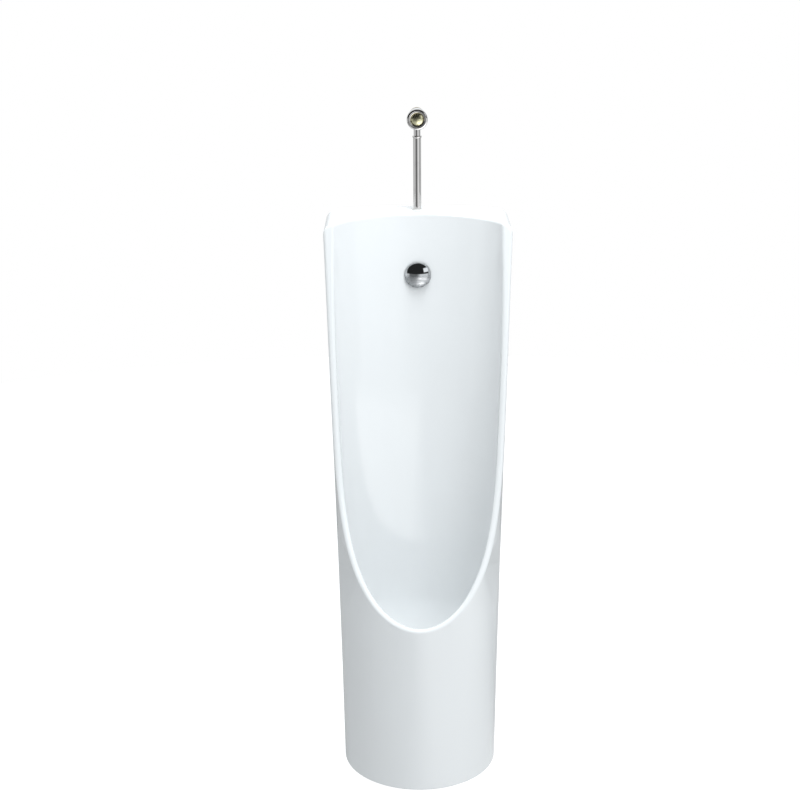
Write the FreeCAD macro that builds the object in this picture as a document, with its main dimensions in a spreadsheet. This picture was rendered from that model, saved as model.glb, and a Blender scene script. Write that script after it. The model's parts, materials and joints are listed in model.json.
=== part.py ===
import FreeCAD, Part
import math
import os
import Sketcher
from FreeCAD import Matrix, Placement, Rotation, Vector

# A wall-hung urinal: a china column with a scooped bowl, a push-button flush valve above it,
# a water spreader, a waste with a bottle trap, and two wall hangers.
# X is to the right, Y runs to the wall (the wall face is Y = 0) and Z is up, all in mm.
# Heights are counted from the foot of the china, depths from the wall towards the user.
# The origin is the middle of the four hanger screws on the wall face.

os.makedirs("parts", exist_ok=True)
doc = FreeCAD.newDocument("Urinal")
sheet = doc.addObject("Spreadsheet::Sheet", "Sizes")
pieces = []


class Size:
    """A length in mm, kept as its number and as the sheet expression that gives it."""

    def __init__(self, number, text):
        self.number = number
        self.text = text

    def __add__(self, other):
        other = as_size(other)
        return Size(self.number + other.number, f"({self.text} + {other.text})")

    def __radd__(self, other):
        return as_size(other) + self

    def __sub__(self, other):
        other = as_size(other)
        return Size(self.number - other.number, f"({self.text} - {other.text})")

    def __rsub__(self, other):
        return as_size(other) - self

    def __mul__(self, other):
        other = as_size(other)
        return Size(self.number * other.number, f"({self.text} * {other.text})")

    def __truediv__(self, other):
        other = as_size(other)
        return Size(self.number / other.number, f"({self.text} / {other.text})")

    def __neg__(self):
        return Size(-self.number, f"(0 - {self.text})")


def as_size(value):
    """A plain number as a length that nothing drives."""
    if isinstance(value, Size):
        return value
    return Size(float(value), f"{float(value):.9g}")


def size(name, number):
    """Put one driving dimension into the next row of the sheet."""
    row = size.rows + 1
    size.rows = row
    sheet.set(f"A{row}", name)
    sheet.set(f"B{row}", f"{number}")
    sheet.setAlias(f"B{row}", name)
    return Size(float(number), f"Sizes.{name}")


size.rows = 0

# Clearances
run_gap = size("run_gap", 0.05)
seat_gap = size("seat_gap", 0.05)
hole_gap = size("hole_gap", 0.5)
seat_margin = size("seat_margin", 2)

# China body
body_height = size("body_height", 1000)
foot_half_width = size("foot_half_width", 138)
top_half_width = size("top_half_width", 162.5)
flank_hollow = size("flank_hollow", 2.8)
side_depth = size("side_depth", 150)
china_wall = size("china_wall", 12)
top_slab = size("top_slab", 14)
lip_height = size("lip_height", 314)
rim_break_height = size("rim_break_height", 640)
rim_break_depth = size("rim_break_depth", 170)
rim_top_depth = size("rim_top_depth", 124)
rim_round = size("rim_round", 5)
corner_round = size("corner_round", 20)
crown_radius = size("crown_radius", 1800)
bowl_back_depth = size("bowl_back_depth", 62)
bowl_floor_height = size("bowl_floor_height", 178)
bowl_round = size("bowl_round", 110)
foot_round = size("foot_round", 3)
stiffening_rib_height = size("stiffening_rib_height", 420)
rib_tall = size("rib_tall", 24)

# Wall hangers
hang_drop = size("hang_drop", 255)
hang_height = body_height - hang_drop
hanger_inset = size("hanger_inset", 62.5)
hanger_apart = (top_half_width - hanger_inset) * 2
hanger_width = size("hanger_width", 40)
hanger_plate = size("hanger_plate", 3)
plate_drop = size("plate_drop", 30)
hanger_low = hang_height - plate_drop
hook_rise = size("hook_rise", 32)
hook_height = hang_height + hook_rise
hook_lip = size("hook_lip", 18)
screw_spacing = size("screw_spacing", 30)
screw_hole = size("screw_hole", 7)
rib_thick = size("rib_thick", 18)
pad_thick = size("pad_thick", 2)

# Flush valve
valve_rise = size("valve_rise", 160.5)
valve_height = body_height + valve_rise
valve_back = size("valve_back", 3)
valve_diameter = size("valve_diameter", 30)
valve_neck = size("valve_neck", 25)
pipe_depth = size("pipe_depth", 34)
half_inch_thread = size("half_inch_thread", 20.955)
inlet_reach = size("inlet_reach", 14)
inlet_bore = size("inlet_bore", 13)
nipple_end = size("nipple_end", 9.5)
collar_diameter = size("collar_diameter", 26)
filter_thick = size("filter_thick", 1.5)
filter_hole = size("filter_hole", 2.4)
filter_ring = size("filter_ring", 3.9)
rear_bore = size("rear_bore", 19)
seat_thick = size("seat_thick", 3)
seat_bore = size("seat_bore", 11)
front_bore = size("front_bore", 24)
bonnet_bore = size("bonnet_bore", 26)
stem_diameter = size("stem_diameter", 6)
stem_disc = size("stem_disc", 15)
disc_thick = size("disc_thick", 2)
washer_thick = size("washer_thick", 5)
ring_section = size("ring_section", 1.9)
bezel_diameter = size("bezel_diameter", 36)
bezel_bore = size("bezel_bore", 22)
bezel_round = size("bezel_round", 2)
bezel_step = size("bezel_step", 1.4)
button_diameter = size("button_diameter", 21)
button_wall = size("button_wall", 1.3)
button_face = size("button_face", 3.5)
button_crown = size("button_crown", 3)
spring_wire = size("spring_wire", 0.9)
spring_diameter = size("spring_diameter", 10)
spring_turns = size("spring_turns", 4)
button_travel = size("button_travel", 5)
button_stop = size("button_stop", 1.5)
seat_back = nipple_end + button_stop + button_travel + disc_thick + washer_thick
chamber_long = size("chamber_long", 23)
bonnet_back = seat_back + chamber_long
bonnet_thick = size("bonnet_thick", 6)
bonnet_front = bonnet_back + bonnet_thick
bezel_lap = size("bezel_lap", 4)
valve_front = bonnet_front + bezel_lap
bezel_thick = size("bezel_thick", 10)
bezel_front = valve_front + bezel_thick
button_set_back = size("button_set_back", 0.5)
button_front = bezel_front - button_set_back

# Flush pipe and elbow
pipe_diameter = size("pipe_diameter", 14)
pipe_wall = size("pipe_wall", 1)
pipe_lip = size("pipe_lip", 1.2)
neck_show = size("neck_show", 16.5)
pipe_head = valve_height - valve_diameter / 2 - neck_show
pipe_bore = pipe_diameter - pipe_wall * 2
spigot_diameter = pipe_bore - run_gap * 2
spigot_wall = size("spigot_wall", 1.95)
spigot_bore = spigot_diameter - spigot_wall * 2
spigot_lap = size("spigot_lap", 18)
spigot_low = pipe_head - spigot_lap
spigot_ring_rise = size("spigot_ring_rise", 6)
thin_ring = size("thin_ring", 1.48)
grommet_wall = size("grommet_wall", 1.9)
grommet_stand = size("grommet_stand", 1.5)
spreader_drop = size("spreader_drop", 110)
spreader_height = body_height - spreader_drop
pipe_foot_rise = size("pipe_foot_rise", 14)
pipe_foot = spreader_height + pipe_foot_rise
elbow_diameter = size("elbow_diameter", 22)
elbow_socket = size("elbow_socket", 27)
elbow_lap = size("elbow_lap", 24)
elbow_top = pipe_foot + elbow_lap
elbow_bore = size("elbow_bore", 11)
elbow_ring_rise = size("elbow_ring_rise", 11)
elbow_ring_height = pipe_foot + elbow_ring_rise

# Water spreader
spreader_stand = size("spreader_stand", 1.5)
spreader_seat = bowl_back_depth + spreader_stand
spreader_wall = size("spreader_wall", 9.5)
spreader_rear = spreader_seat - spreader_wall
spreader_hole = half_inch_thread + hole_gap * 4
gasket_thick = size("gasket_thick", 1.6)
dome_diameter = size("dome_diameter", 45)
dome_wall = size("dome_wall", 1.5)
dome_skirt = size("dome_skirt", 5)
dome_rise = size("dome_rise", 8)
dome_jet = size("dome_jet", 2.6)
jet_forward = size("jet_forward", 3.8)
spreader_flange = size("spreader_flange", 2)
spreader_bore = size("spreader_bore", 14)
tail_long = size("tail_long", 16.5)
tail_end = spreader_rear - tail_long
back_washer_thick = size("back_washer_thick", 2)
back_washer_diameter = size("back_washer_diameter", 34)
back_nut_flats = size("back_nut_flats", 30)
back_nut_thick = size("back_nut_thick", 6)

# Waste
drain_depth = size("drain_depth", 168)
waste_flange_diameter = size("waste_flange_diameter", 72)
waste_seat = waste_flange_diameter + seat_margin * 2
waste_flange_thick = size("waste_flange_thick", 4)
waste_gasket_thick = size("waste_gasket_thick", 2)
waste_thread = size("waste_thread", 41.9)
waste_hole = waste_thread + hole_gap * 8
waste_bore = size("waste_bore", 36)
waste_tail_lap = size("waste_tail_lap", 6)
strainer_diameter = size("strainer_diameter", 59.4)
strainer_sheet = size("strainer_sheet", 1.5)
strainer_dome = size("strainer_dome", 47)
strainer_rise = size("strainer_rise", 9.5)
strainer_hole = size("strainer_hole", 4.4)
strainer_inner_ring = size("strainer_inner_ring", 9.5)
strainer_outer_ring = size("strainer_outer_ring", 17.5)
waste_washer_thick = size("waste_washer_thick", 3)
waste_washer_diameter = size("waste_washer_diameter", 62)
waste_nut_flats = size("waste_nut_flats", 60)
waste_nut_thick = size("waste_nut_thick", 10)

# Bottle trap and outlet
trap_diameter = size("trap_diameter", 70)
trap_wall = size("trap_wall", 3)
trap_tall = size("trap_tall", 64)
trap_boss = size("trap_boss", 52)
trap_boss_rise = size("trap_boss_rise", 20)
trap_nut_diameter = size("trap_nut_diameter", 64)
trap_nut_lap = size("trap_nut_lap", 12)
trap_nut_web = size("trap_nut_web", 9.9)
trap_nut_clear = size("trap_nut_clear", 3.9)
trap_seal_thick = size("trap_seal_thick", 4)
dip_tube_diameter = size("dip_tube_diameter", 35.6)
dip_tube_drop = size("dip_tube_drop", 14)
cup_drop = size("cup_drop", 32)
cup_lap = size("cup_lap", 16)
cup_wall = size("cup_wall", 3)
cup_chamfer = size("cup_chamfer", 5)
cup_seal_thick = size("cup_seal_thick", 3)
outlet_drop = size("outlet_drop", 20)
outlet_diameter = size("outlet_diameter", 40)
outlet_wall = size("outlet_wall", 2)
outlet_reach = size("outlet_reach", 45)
outlet_boss = size("outlet_boss", 48)
outlet_boss_long = size("outlet_boss_long", 60)
outlet_nut_diameter = size("outlet_nut_diameter", 59)
outlet_nut_lap = size("outlet_nut_lap", 10)
outlet_nut_web = size("outlet_nut_web", 10)
outlet_pipe_gap = size("outlet_pipe_gap", 3)
stop_bead = size("stop_bead", 3)
rosette_diameter = size("rosette_diameter", 66)
rosette_thick = size("rosette_thick", 9)
rosette_chamfer = size("rosette_chamfer", 3)

doc.recompute()

# The two ways a turned piece can lie: its axis up, or its axis pointing from the wall to the user
UP = Rotation()
FORWARD = Rotation(Vector(1, 0, 0), 90)
SIDEWAYS_ON = Rotation(Vector(0, 0, 1), -90)


def bind(thing, prop, value):
    """Drive one property from the sheet."""
    thing.setExpression(prop, as_size(value).text)


def seat(thing, turn, right, depth, height):
    """Place a piece by its distance right of the middle, from the wall and above the foot."""
    thing.Placement = Placement(Vector(), turn)
    bind(thing, "Placement.Base.x", right)
    bind(thing, "Placement.Base.y", -as_size(depth))
    bind(thing, "Placement.Base.z", as_size(height) - hang_height)


def finish(thing, label):
    """Name a finished piece and note it for the checks and the files at the end."""
    thing.Label = label
    pieces.append(thing)
    return thing


def origin_plane(body, role):
    """One of the three planes of a body's own origin."""
    return next(f for f in body.Origin.OriginFeatures if f.Role == role)


def new_sketch(body, name, role):
    """An empty sketch on one of the body's origin planes."""
    sketch = body.newObject("Sketcher::SketchObject", name)
    sketch.AttachmentSupport = (origin_plane(body, role), [""])
    sketch.MapMode = "FlatFace"
    return sketch


def hold(sketch, index, end, across, up):
    """Tie one end of a sketch edge to its two coordinates, or to an axis where one is zero."""
    for kind, axis, value in (("DistanceX", -2, across), ("DistanceY", -1, up)):
        if as_size(value).number == 0:
            sketch.addConstraint(Sketcher.Constraint("PointOnObject", index, end, axis))
            continue
        row = Sketcher.Constraint(kind, -1, 1, index, end, as_size(value).number)
        sketch.setExpression(f"Constraints[{sketch.addConstraint(row)}]", as_size(value).text)


def arc_between(start, end, radius, turn):
    """The arc of a radius from start to end, turning left (1) or right (-1), and its end numbers."""
    chord = end - start
    left = Vector(-chord.y, chord.x, 0).normalize()
    rise = math.sqrt(max(radius**2 - chord.Length**2 / 4, 0))
    centre = start + chord / 2 + left * rise * turn
    first, last = (start, end) if turn > 0 else (end, start)
    from_angle = math.atan2(first.y - centre.y, first.x - centre.x)
    to_angle = math.atan2(last.y - centre.y, last.x - centre.x)
    circle = Part.Circle(centre, Vector(0, 0, 1), radius)
    arc = Part.ArcOfCircle(circle, from_angle, to_angle)
    return arc, (1, 2) if turn > 0 else (2, 1)


def outline(sketch, corners):
    """Draw a closed outline. A corner is (across, up), or (across, up, radius, turn) before an arc."""
    ends = []
    points = [Vector(as_size(c[0]).number, as_size(c[1]).number, 0) for c in corners]
    for number, corner in enumerate(corners):
        start = points[number]
        end = points[(number + 1) % len(corners)]
        if len(corner) == 2:
            index = sketch.addGeometry(Part.LineSegment(start, end))
            ends.append((index, 1, 2))
        else:
            arc, order = arc_between(start, end, as_size(corner[2]).number, corner[3])
            index = sketch.addGeometry(arc)
            ends.append((index, *order))
    for number, (index, start_end, _) in enumerate(ends):
        before, _, before_end = ends[number - 1]
        sketch.addConstraint(Sketcher.Constraint("Coincident", before, before_end, index, start_end))
        hold(sketch, index, start_end, corners[number][0], corners[number][1])
        if len(corners[number]) > 2:
            radius = as_size(corners[number][2])
            row = sketch.addConstraint(Sketcher.Constraint("Radius", index, radius.number))
            sketch.setExpression(f"Constraints[{row}]", radius.text)


def turned(name, corners, turn, depth, height, right=0):
    """A body turned from a half outline of (radius, distance along the axis) corners."""
    body = doc.addObject("PartDesign::Body", name)
    sketch = new_sketch(body, f"{name}_outline", "XZ_Plane")
    outline(sketch, corners)
    turn_feature = body.newObject("PartDesign::Revolution", f"{name}_turned")
    turn_feature.Profile = sketch
    turn_feature.ReferenceAxis = (sketch, ["V_Axis"])
    turn_feature.Angle = 360
    sketch.Visibility = False
    seat(body, turn, right, depth, height)
    return body


def ring(name, inner, outer, low, high, turn, depth, height):
    """A plain ring given by its inner and outer diameters."""
    corners = [(inner / 2, low), (outer / 2, low), (outer / 2, high), (inner / 2, high)]
    return finish(turned(name, corners, turn, depth, height), name)


def cylinder(name, diameter, length, turn, right, depth, height):
    """A plain cylinder standing on the given point."""
    thing = doc.addObject("Part::Cylinder", name)
    bind(thing, "Radius", diameter / 2)
    bind(thing, "Height", length)
    seat(thing, turn, right, depth, height)
    return thing


def box(name, wide, deep, tall, left, depth, low):
    """A box from its left edge, its front depth and its low height."""
    thing = doc.addObject("Part::Box", name)
    bind(thing, "Length", wide)
    bind(thing, "Width", deep)
    bind(thing, "Height", tall)
    seat(thing, UP, left, depth, low)
    return thing


def nut(name, sides, flats, bore, thick, turn, depth, height):
    """A nut with flats, bored through."""
    blank = doc.addObject("Part::Prism", f"{name}_blank")
    blank.Polygon = sides
    bind(blank, "Circumradius", flats / (2 * math.cos(math.pi / sides)))
    bind(blank, "Height", thick)
    seat(blank, turn, 0, depth, height)
    along = turn.multVec(Vector(0, 0, 1))
    start_depth = depth - hole_gap if along.y else depth
    start_height = height if along.y else height - hole_gap
    hole = cylinder(f"{name}_hole", bore, thick + hole_gap * 2, turn, 0, start_depth, start_height)
    return finish(cut(name, blank, [hole]), name)


def fuse(name, parts):
    """Several shapes joined into one."""
    thing = doc.addObject("Part::MultiFuse", name)
    thing.Shapes = parts
    thing.Refine = True
    return thing


def cut(name, base, tools):
    """A shape with others taken out of it."""
    thing = doc.addObject("Part::Cut", name)
    thing.Base = base
    thing.Tool = tools[0] if len(tools) == 1 else fuse(f"{name}_cuts", tools)
    thing.Refine = True
    return thing


def o_ring(name, inner, turn, depth, height, section=ring_section):
    """A round-section ring with a given hole."""
    thing = doc.addObject("Part::Torus", name)
    bind(thing, "Radius1", (inner + section) / 2)
    bind(thing, "Radius2", section / 2)
    seat(thing, turn, 0, depth, height)
    return finish(thing, name)


# China body: the outside is a column with flat-sided flanks and a round front


def side_circle():
    """Centre and radius of the long arc that the flanks follow, seen from the front."""
    low = Vector(foot_half_width.number, 0, 0)
    high = Vector(top_half_width.number, body_height.number, 0)
    middle = (low + high) / 2 - Vector(flank_hollow.number, 0, 0)
    circle = Part.Circle(low, middle, high)
    return circle.Center, circle.Radius


SIDE_CENTRE, SIDE_RADIUS = side_circle()
# How far the cutting shapes run past the top of the china, and how finely the rim line is drawn
past_top = 3 * corner_round.number
STRAIGHT_STEPS = 5
ARC_STEPS = 14


def half_width(height):
    """Half of the column's width at a height."""
    return SIDE_CENTRE.x - math.sqrt(SIDE_RADIUS**2 - (height - SIDE_CENTRE.y) ** 2)


def side_arc(inset, low, high):
    """The flank's long arc moved inwards, from a low to a high point, on the right-hand side."""
    ends = [Vector(half_width(h) - inset, 0, h) for h in (low, (low + high) / 2, high)]
    return Part.Arc(*ends).toShape()


def flank(inset, low, high, rounding):
    """The right-hand flank as edges, from the foot (with its edge rounded) up, and where it meets the foot."""
    if not rounding:
        return [side_arc(inset, low, high)], Vector(half_width(low) - inset, 0, low)
    start = Vector(half_width(low + rounding) - inset, 0, low + rounding)
    foot = start - Vector(rounding, 0, rounding)
    lean = rounding * math.sqrt(0.5)
    bend = Part.Arc(start, Vector(foot.x + lean, 0, start.z - lean), foot).toShape()
    return [bend, side_arc(inset, low + rounding, high)], foot


def mirrored(edge):
    """An edge mirrored to the other side of the middle plane."""
    return edge.mirror(Vector(), Vector(1, 0, 0))


def edge_chain(edges):
    """The flat face inside a closed chain of edges."""
    return Part.Face(Part.Wire(Part.__sortEdges__(edges)))


def column_back(inset, drop, low, reach, rounding=0):
    """The flat-sided rear of the column, from the wall (or past it) to the start of the round front."""
    top = body_height.number - drop
    radius = crown_radius.number
    crown_sag = radius - math.sqrt(radius**2 - (half_width(top) - inset) ** 2)
    shoulder = top - crown_sag
    corner = Vector(half_width(shoulder) - inset, 0, shoulder)
    right, foot = flank(inset, low, shoulder, rounding)
    crown = Part.Arc(corner, Vector(0, 0, top), Vector(-corner.x, 0, shoulder)).toShape()
    base = Part.makeLine(Vector(-foot.x, 0, low), foot)
    face = edge_chain([*right, crown, *[mirrored(edge) for edge in right], base])
    face.translate(Vector(0, reach, 0))
    block = face.extrude(Vector(0, -side_depth.number - reach, 0))
    corners = [e for e in block.Edges if is_top_corner(e, corner)]
    return block.makeFillet(max(corner_round.number - inset, 1), corners)


def is_top_corner(edge, corner):
    """Whether an edge runs from front to back along one of the two top corners."""
    middle = edge.CenterOfMass
    return abs(middle.z - corner.z) < 0.01 and abs(abs(middle.x) - corner.x) < 0.01


def half_turn(face, front):
    """A flat half outline swung half a turn about the upright axis of the round front."""
    axis_foot = Vector(0, -side_depth.number, 0)
    face.translate(axis_foot)
    return face.revolve(axis_foot, Vector(0, 0, 1), -180 if front else 180)


def column_front(inset, low, high, rounding=0):
    """The round front of the column."""
    right, foot = flank(inset, low, high, rounding)
    base = Part.makeLine(Vector(0, 0, low), foot)
    top = Part.makeLine(Vector(half_width(high) - inset, 0, high), Vector(0, 0, high))
    axis = Part.makeLine(Vector(0, 0, high), Vector(0, 0, low))
    return half_turn(edge_chain([base, *right, top, axis]), True)


def bowl_half(inset, front):
    """One half of the bowl's hollow (or of the bowl's outside, with no inset): a wall and a round floor."""
    wall = china_wall.number
    floor = bowl_floor_height.number - wall + inset
    turn_height = bowl_floor_height.number + bowl_round.number
    high = body_height.number + past_top
    side = half_width(turn_height) - inset
    round_radius = turn_height - floor
    flat = side - round_radius
    slope = math.sqrt(0.5) * round_radius
    bend = Part.Arc(
        Vector(flat, 0, floor),
        Vector(flat + slope, 0, turn_height - slope),
        Vector(side, 0, turn_height),
    ).toShape()
    right = side_arc(inset, turn_height, high)
    base = Part.makeLine(Vector(0, 0, floor), Vector(flat, 0, floor))
    top = Part.makeLine(Vector(half_width(high) - inset, 0, high), Vector(0, 0, high))
    axis = Part.makeLine(Vector(0, 0, high), Vector(0, 0, floor))
    half = half_turn(edge_chain([base, bend, right, top, axis]), front)
    if front:
        return half
    back = side_depth.number - bowl_back_depth.number + (wall - inset)
    squeeze = back / (half_width(body_height.number) - inset)
    shrink = Matrix()
    shrink.move(Vector(0, side_depth.number, 0))
    shrink.scale(1, squeeze, 1)
    shrink.move(Vector(0, -side_depth.number, 0))
    return half.transformGeometry(shrink)


def rim_points():
    """The rim in side view as (depth, height): a straight upper part, then an arc down to the lip."""
    top = Vector(rim_top_depth.number, body_height.number, 0)
    turn = Vector(rim_break_depth.number, rim_break_height.number, 0)
    lip = Vector(side_depth.number + half_width(lip_height.number), lip_height.number, 0)
    down = (turn - top).normalize()
    across = Vector(down.y, -down.x, 0)
    chord = lip - turn
    radius = chord.dot(chord) / (2 * chord.dot(across))
    centre = turn + across * radius
    end_angle = 2 * math.asin(chord.Length / (2 * abs(radius)))
    above = top - down * past_top
    straight = [above + (turn - above) * (n / STRAIGHT_STEPS) for n in range(STRAIGHT_STEPS)]
    spin = 1 if radius > 0 else -1
    arc = []
    for n in range(ARC_STEPS + 1):
        turned_by = Rotation(Vector(0, 0, 1), math.degrees(-spin * end_angle * n / ARC_STEPS))
        arc.append(centre + turned_by.multVec(turn - centre))
    return straight + arc


def rim_point(depth, height, grow):
    """The place on the column at a depth and height, moved out (or in) square to its wall."""
    width = half_width(height)
    forward = depth - side_depth.number
    if forward <= 0:
        return Vector(width + grow, -depth, height)
    forward = min(forward, width)
    side = math.sqrt(width**2 - forward**2)
    share = (width + grow) / width
    return Vector(side * share, -side_depth.number - forward * share, height)


def scoop():
    """Everything above the rim: a ribbon square to the wall, raised straight up."""
    rows = rim_points()
    flare = half_width(body_height.number) - half_width(lip_height.number)
    edges = []
    for grow in (flare + china_wall.number, -3 * china_wall.number):
        right = [rim_point(p.x, p.y, grow) for p in rows]
        left = [Vector(-p.x, p.y, p.z) for p in reversed(right[:-1])]
        curve = Part.BSplineCurve()
        curve.interpolate(right + left)
        edges.append(curve.toShape())
    ribbon = Part.makeRuledSurface(*edges)
    return ribbon.extrude(Vector(0, 0, body_height.number))


def face_at(shape, point):
    """The face of a shape that lies nearest to a point."""
    return min(shape.Faces, key=lambda face: face.distToShape(Part.Vertex(point))[0])


def rounded_rims(shape):
    """The shell with its rim and the front edge of its top rounded."""
    lip = lip_height.number
    front = side_depth.number + half_width(lip)
    rim = face_at(shape, rim_point(front, lip, -china_wall.number / 2))
    half_way = (side_depth.number + bowl_back_depth.number) / 2
    back = face_at(shape, Vector(0, -half_way, rim_break_height.number))
    crest_low = body_height.number - 2 * corner_round.number
    crest = [edge for edge in back.Edges if edge.BoundBox.ZMin > crest_low]
    return shape.makeFillet(rim_round.number, rim.Edges + crest)


def rib(depth, thick, low):
    """A level rib across the open back, let into both flanks."""
    reach = half_width(low) - china_wall.number / 2
    corner = Vector(-reach, -depth - thick, low)
    return Part.makeBox(2 * reach, thick, rib_tall.number, corner)


def china_shape():
    """The china shell with its bowl, its hollow back and foot, its ribs and its rounded rims."""
    wall = china_wall.number
    rounding = foot_round.number
    column = column_back(0, 0, 0, 0, rounding).fuse(column_front(0, 0, body_height.number, rounding))
    hollow = column_back(wall, top_slab.number, -wall, wall)
    hollow = hollow.fuse(column_front(wall, -wall, rim_break_height.number))
    bowl_outside = bowl_half(0, True).fuse(bowl_half(0, False))
    bowl_inside = bowl_half(wall, True).fuse(bowl_half(wall, False))
    shell = column.cut(scoop()).cut(bowl_inside).cut(hollow.cut(bowl_outside))
    shell = rounded_rims(shell)
    shell = shell.fuse(rib(rib_depth.number, rib_thick.number, hanging_rib_height.number))
    return shell.fuse(rib(0, wall, stiffening_rib_height.number))


rib_depth = hanger_plate + hole_gap
hanging_rib_height = hook_height + hanger_plate + pad_thick + seat_gap * 2
china = doc.addObject("Part::Feature", "china_shell")
china.Shape = china_shape()
seat(china, UP, 0, 0, 0)

grommet_diameter = pipe_diameter + run_gap * 2 + grommet_wall * 2
waste_boss_low = bowl_floor_height - china_wall - waste_washer_thick
boss = cylinder("waste_boss", waste_washer_diameter + seat_margin * 4, china_wall, UP, 0,
                drain_depth, waste_boss_low)
china_holes = [
    cylinder("inlet_hole", grommet_diameter + run_gap * 2, top_slab * 3, UP, 0,
             pipe_depth, body_height - top_slab * 2),
    cylinder("spreader_through", spreader_hole, china_wall * 3, FORWARD, 0,
             spreader_seat - china_wall * 2, spreader_height),
    cylinder("spreader_front_flat", dome_diameter + seat_margin, china_wall, FORWARD, 0,
             spreader_seat, spreader_height),
    cylinder("spreader_back_flat", back_washer_diameter + seat_margin * 2, china_wall, FORWARD, 0,
             spreader_rear - china_wall, spreader_height),
    cylinder("waste_through", waste_hole, china_wall * 4, UP, 0,
             drain_depth, bowl_floor_height - china_wall * 2),
    cylinder("waste_recess", waste_seat, china_wall, UP, 0, drain_depth, bowl_floor_height),
]
finish(cut("ceramic_body", fuse("china_with_boss", [china, boss]), china_holes), "ceramic_body")

# Wall hangers: a plate, a tongue under the china's rib and a lip in front of it


def hanger(name, middle):
    """One hanger, cut from a bent strip and drilled for two screws."""
    tongue_top = hook_height + hanger_plate
    lip_top = tongue_top + hook_lip
    lip_back = rib_depth + rib_thick + hole_gap
    lip_front = lip_back + hanger_plate
    body = doc.addObject("PartDesign::Body", f"{name}_strip")
    sketch = new_sketch(body, f"{name}_outline", "XZ_Plane")
    outline(sketch, [
        (0, hanger_low),
        (hanger_plate, hanger_low),
        (hanger_plate, hook_height),
        (lip_front, hook_height),
        (lip_front, lip_top),
        (lip_back, lip_top),
        (lip_back, tongue_top),
        (hanger_plate, tongue_top),
        (hanger_plate, lip_top),
        (0, lip_top),
    ])
    pad = body.newObject("PartDesign::Pad", f"{name}_pad")
    pad.Profile = sketch
    bind(pad, "Length", hanger_width)
    sketch.Visibility = False
    seat(body, SIDEWAYS_ON, middle + hanger_width / 2, 0, 0)
    holes = []
    for number, sign in enumerate((-1, 1)):
        height = hang_height + screw_spacing * (sign / 2)
        holes.append(cylinder(f"{name}_screw_{number}", screw_hole, hanger_plate * 3, FORWARD,
                              middle, -hanger_plate, height))
    return finish(cut(name, body, holes), name)


hanger("left_hanger", -hanger_apart / 2)
hanger("right_hanger", hanger_apart / 2)
pads = []
for side in (-1, 1):
    left_edge = hanger_apart * (side / 2) - hanger_width / 2
    pads.append(box(f"pad_{len(pads)}", hanger_width, rib_thick, pad_thick, left_edge,
                    rib_depth + rib_thick, hook_height + hanger_plate + seat_gap))
pad_pair = doc.addObject("Part::Compound", "hanger_pads")
pad_pair.Links = pads
finish(pad_pair, "hanger_pads")

# Flush valve: a turned body on a level axis, with a spigot for the pipe below it


def cap_radius(half_width, rise):
    """The radius of the ball that a round cap of this half width and rise is cut from."""
    return (half_width * half_width + rise * rise) / (rise * 2)


def at_valve(name, corners):
    """A piece turned about the valve's axis, its corners as (radius, depth from the wall)."""
    return turned(name, corners, FORWARD, 0, valve_height)


thread_radius = half_inch_thread / 2
thread_hole = thread_radius + run_gap
valve_radius = valve_diameter / 2
neck_radius = valve_neck / 2
neck_round = (neck_radius - thread_hole) / 2
shoulder_back = seat_back - seat_thick
shoulder_round = valve_radius - neck_radius
barrel = at_valve("valve_barrel", [
    (thread_hole, valve_back),
    (neck_radius - neck_round, valve_back, neck_round, 1),
    (neck_radius, valve_back + neck_round),
    (neck_radius, shoulder_back, shoulder_round, 1),
    (valve_radius, shoulder_back + shoulder_round),
    (valve_radius, valve_front),
    (bonnet_bore / 2 + run_gap, valve_front),
    (bonnet_bore / 2 + run_gap, bonnet_back),
    (front_bore / 2 + run_gap, bonnet_back),
    (front_bore / 2 + run_gap, seat_back),
    (rear_bore / 2, seat_back),
    (rear_bore / 2, nipple_end),
    (thread_hole, nipple_end),
])
spigot_high = valve_height - front_bore / 2 - pipe_lip / 2
ring_middle = spigot_low + spigot_ring_rise
ring_half = thin_ring / 2 + run_gap * 2
ring_hole = pipe_bore - run_gap * 2 - thin_ring * 2
groove = ring_hole / 2 - run_gap
spigot = turned("valve_spigot", [
    (spigot_bore / 2, spigot_low),
    (spigot_diameter / 2, spigot_low),
    (spigot_diameter / 2, ring_middle - ring_half),
    (groove, ring_middle - ring_half),
    (groove, ring_middle + ring_half),
    (spigot_diameter / 2, ring_middle + ring_half),
    (spigot_diameter / 2, spigot_high),
    (spigot_bore / 2, spigot_high),
], UP, pipe_depth, 0)
way_out = cylinder("valve_way_out", spigot_bore, valve_radius - front_bore / 4, UP, 0,
                   pipe_depth, valve_height - valve_radius)
finish(cut("valve_body", fuse("valve_casting", [barrel, spigot]), [way_out]), "valve_body")

ring("valve_seat", seat_bore, front_bore, seat_back + seat_gap, seat_back + seat_thick,
     FORWARD, 0, valve_height)
disc_front = seat_back - washer_thick
stem_front = button_front - button_face
finish(at_valve("valve_stem", [
    (0, disc_front - disc_thick),
    (stem_disc / 2, disc_front - disc_thick),
    (stem_disc / 2, disc_front),
    (stem_diameter / 2, disc_front),
    (stem_diameter / 2, stem_front),
    (0, stem_front),
]), "valve_stem")
ring("seat_washer", stem_diameter + run_gap * 2, stem_disc, disc_front, seat_back - seat_gap,
     FORWARD, 0, valve_height)

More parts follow.
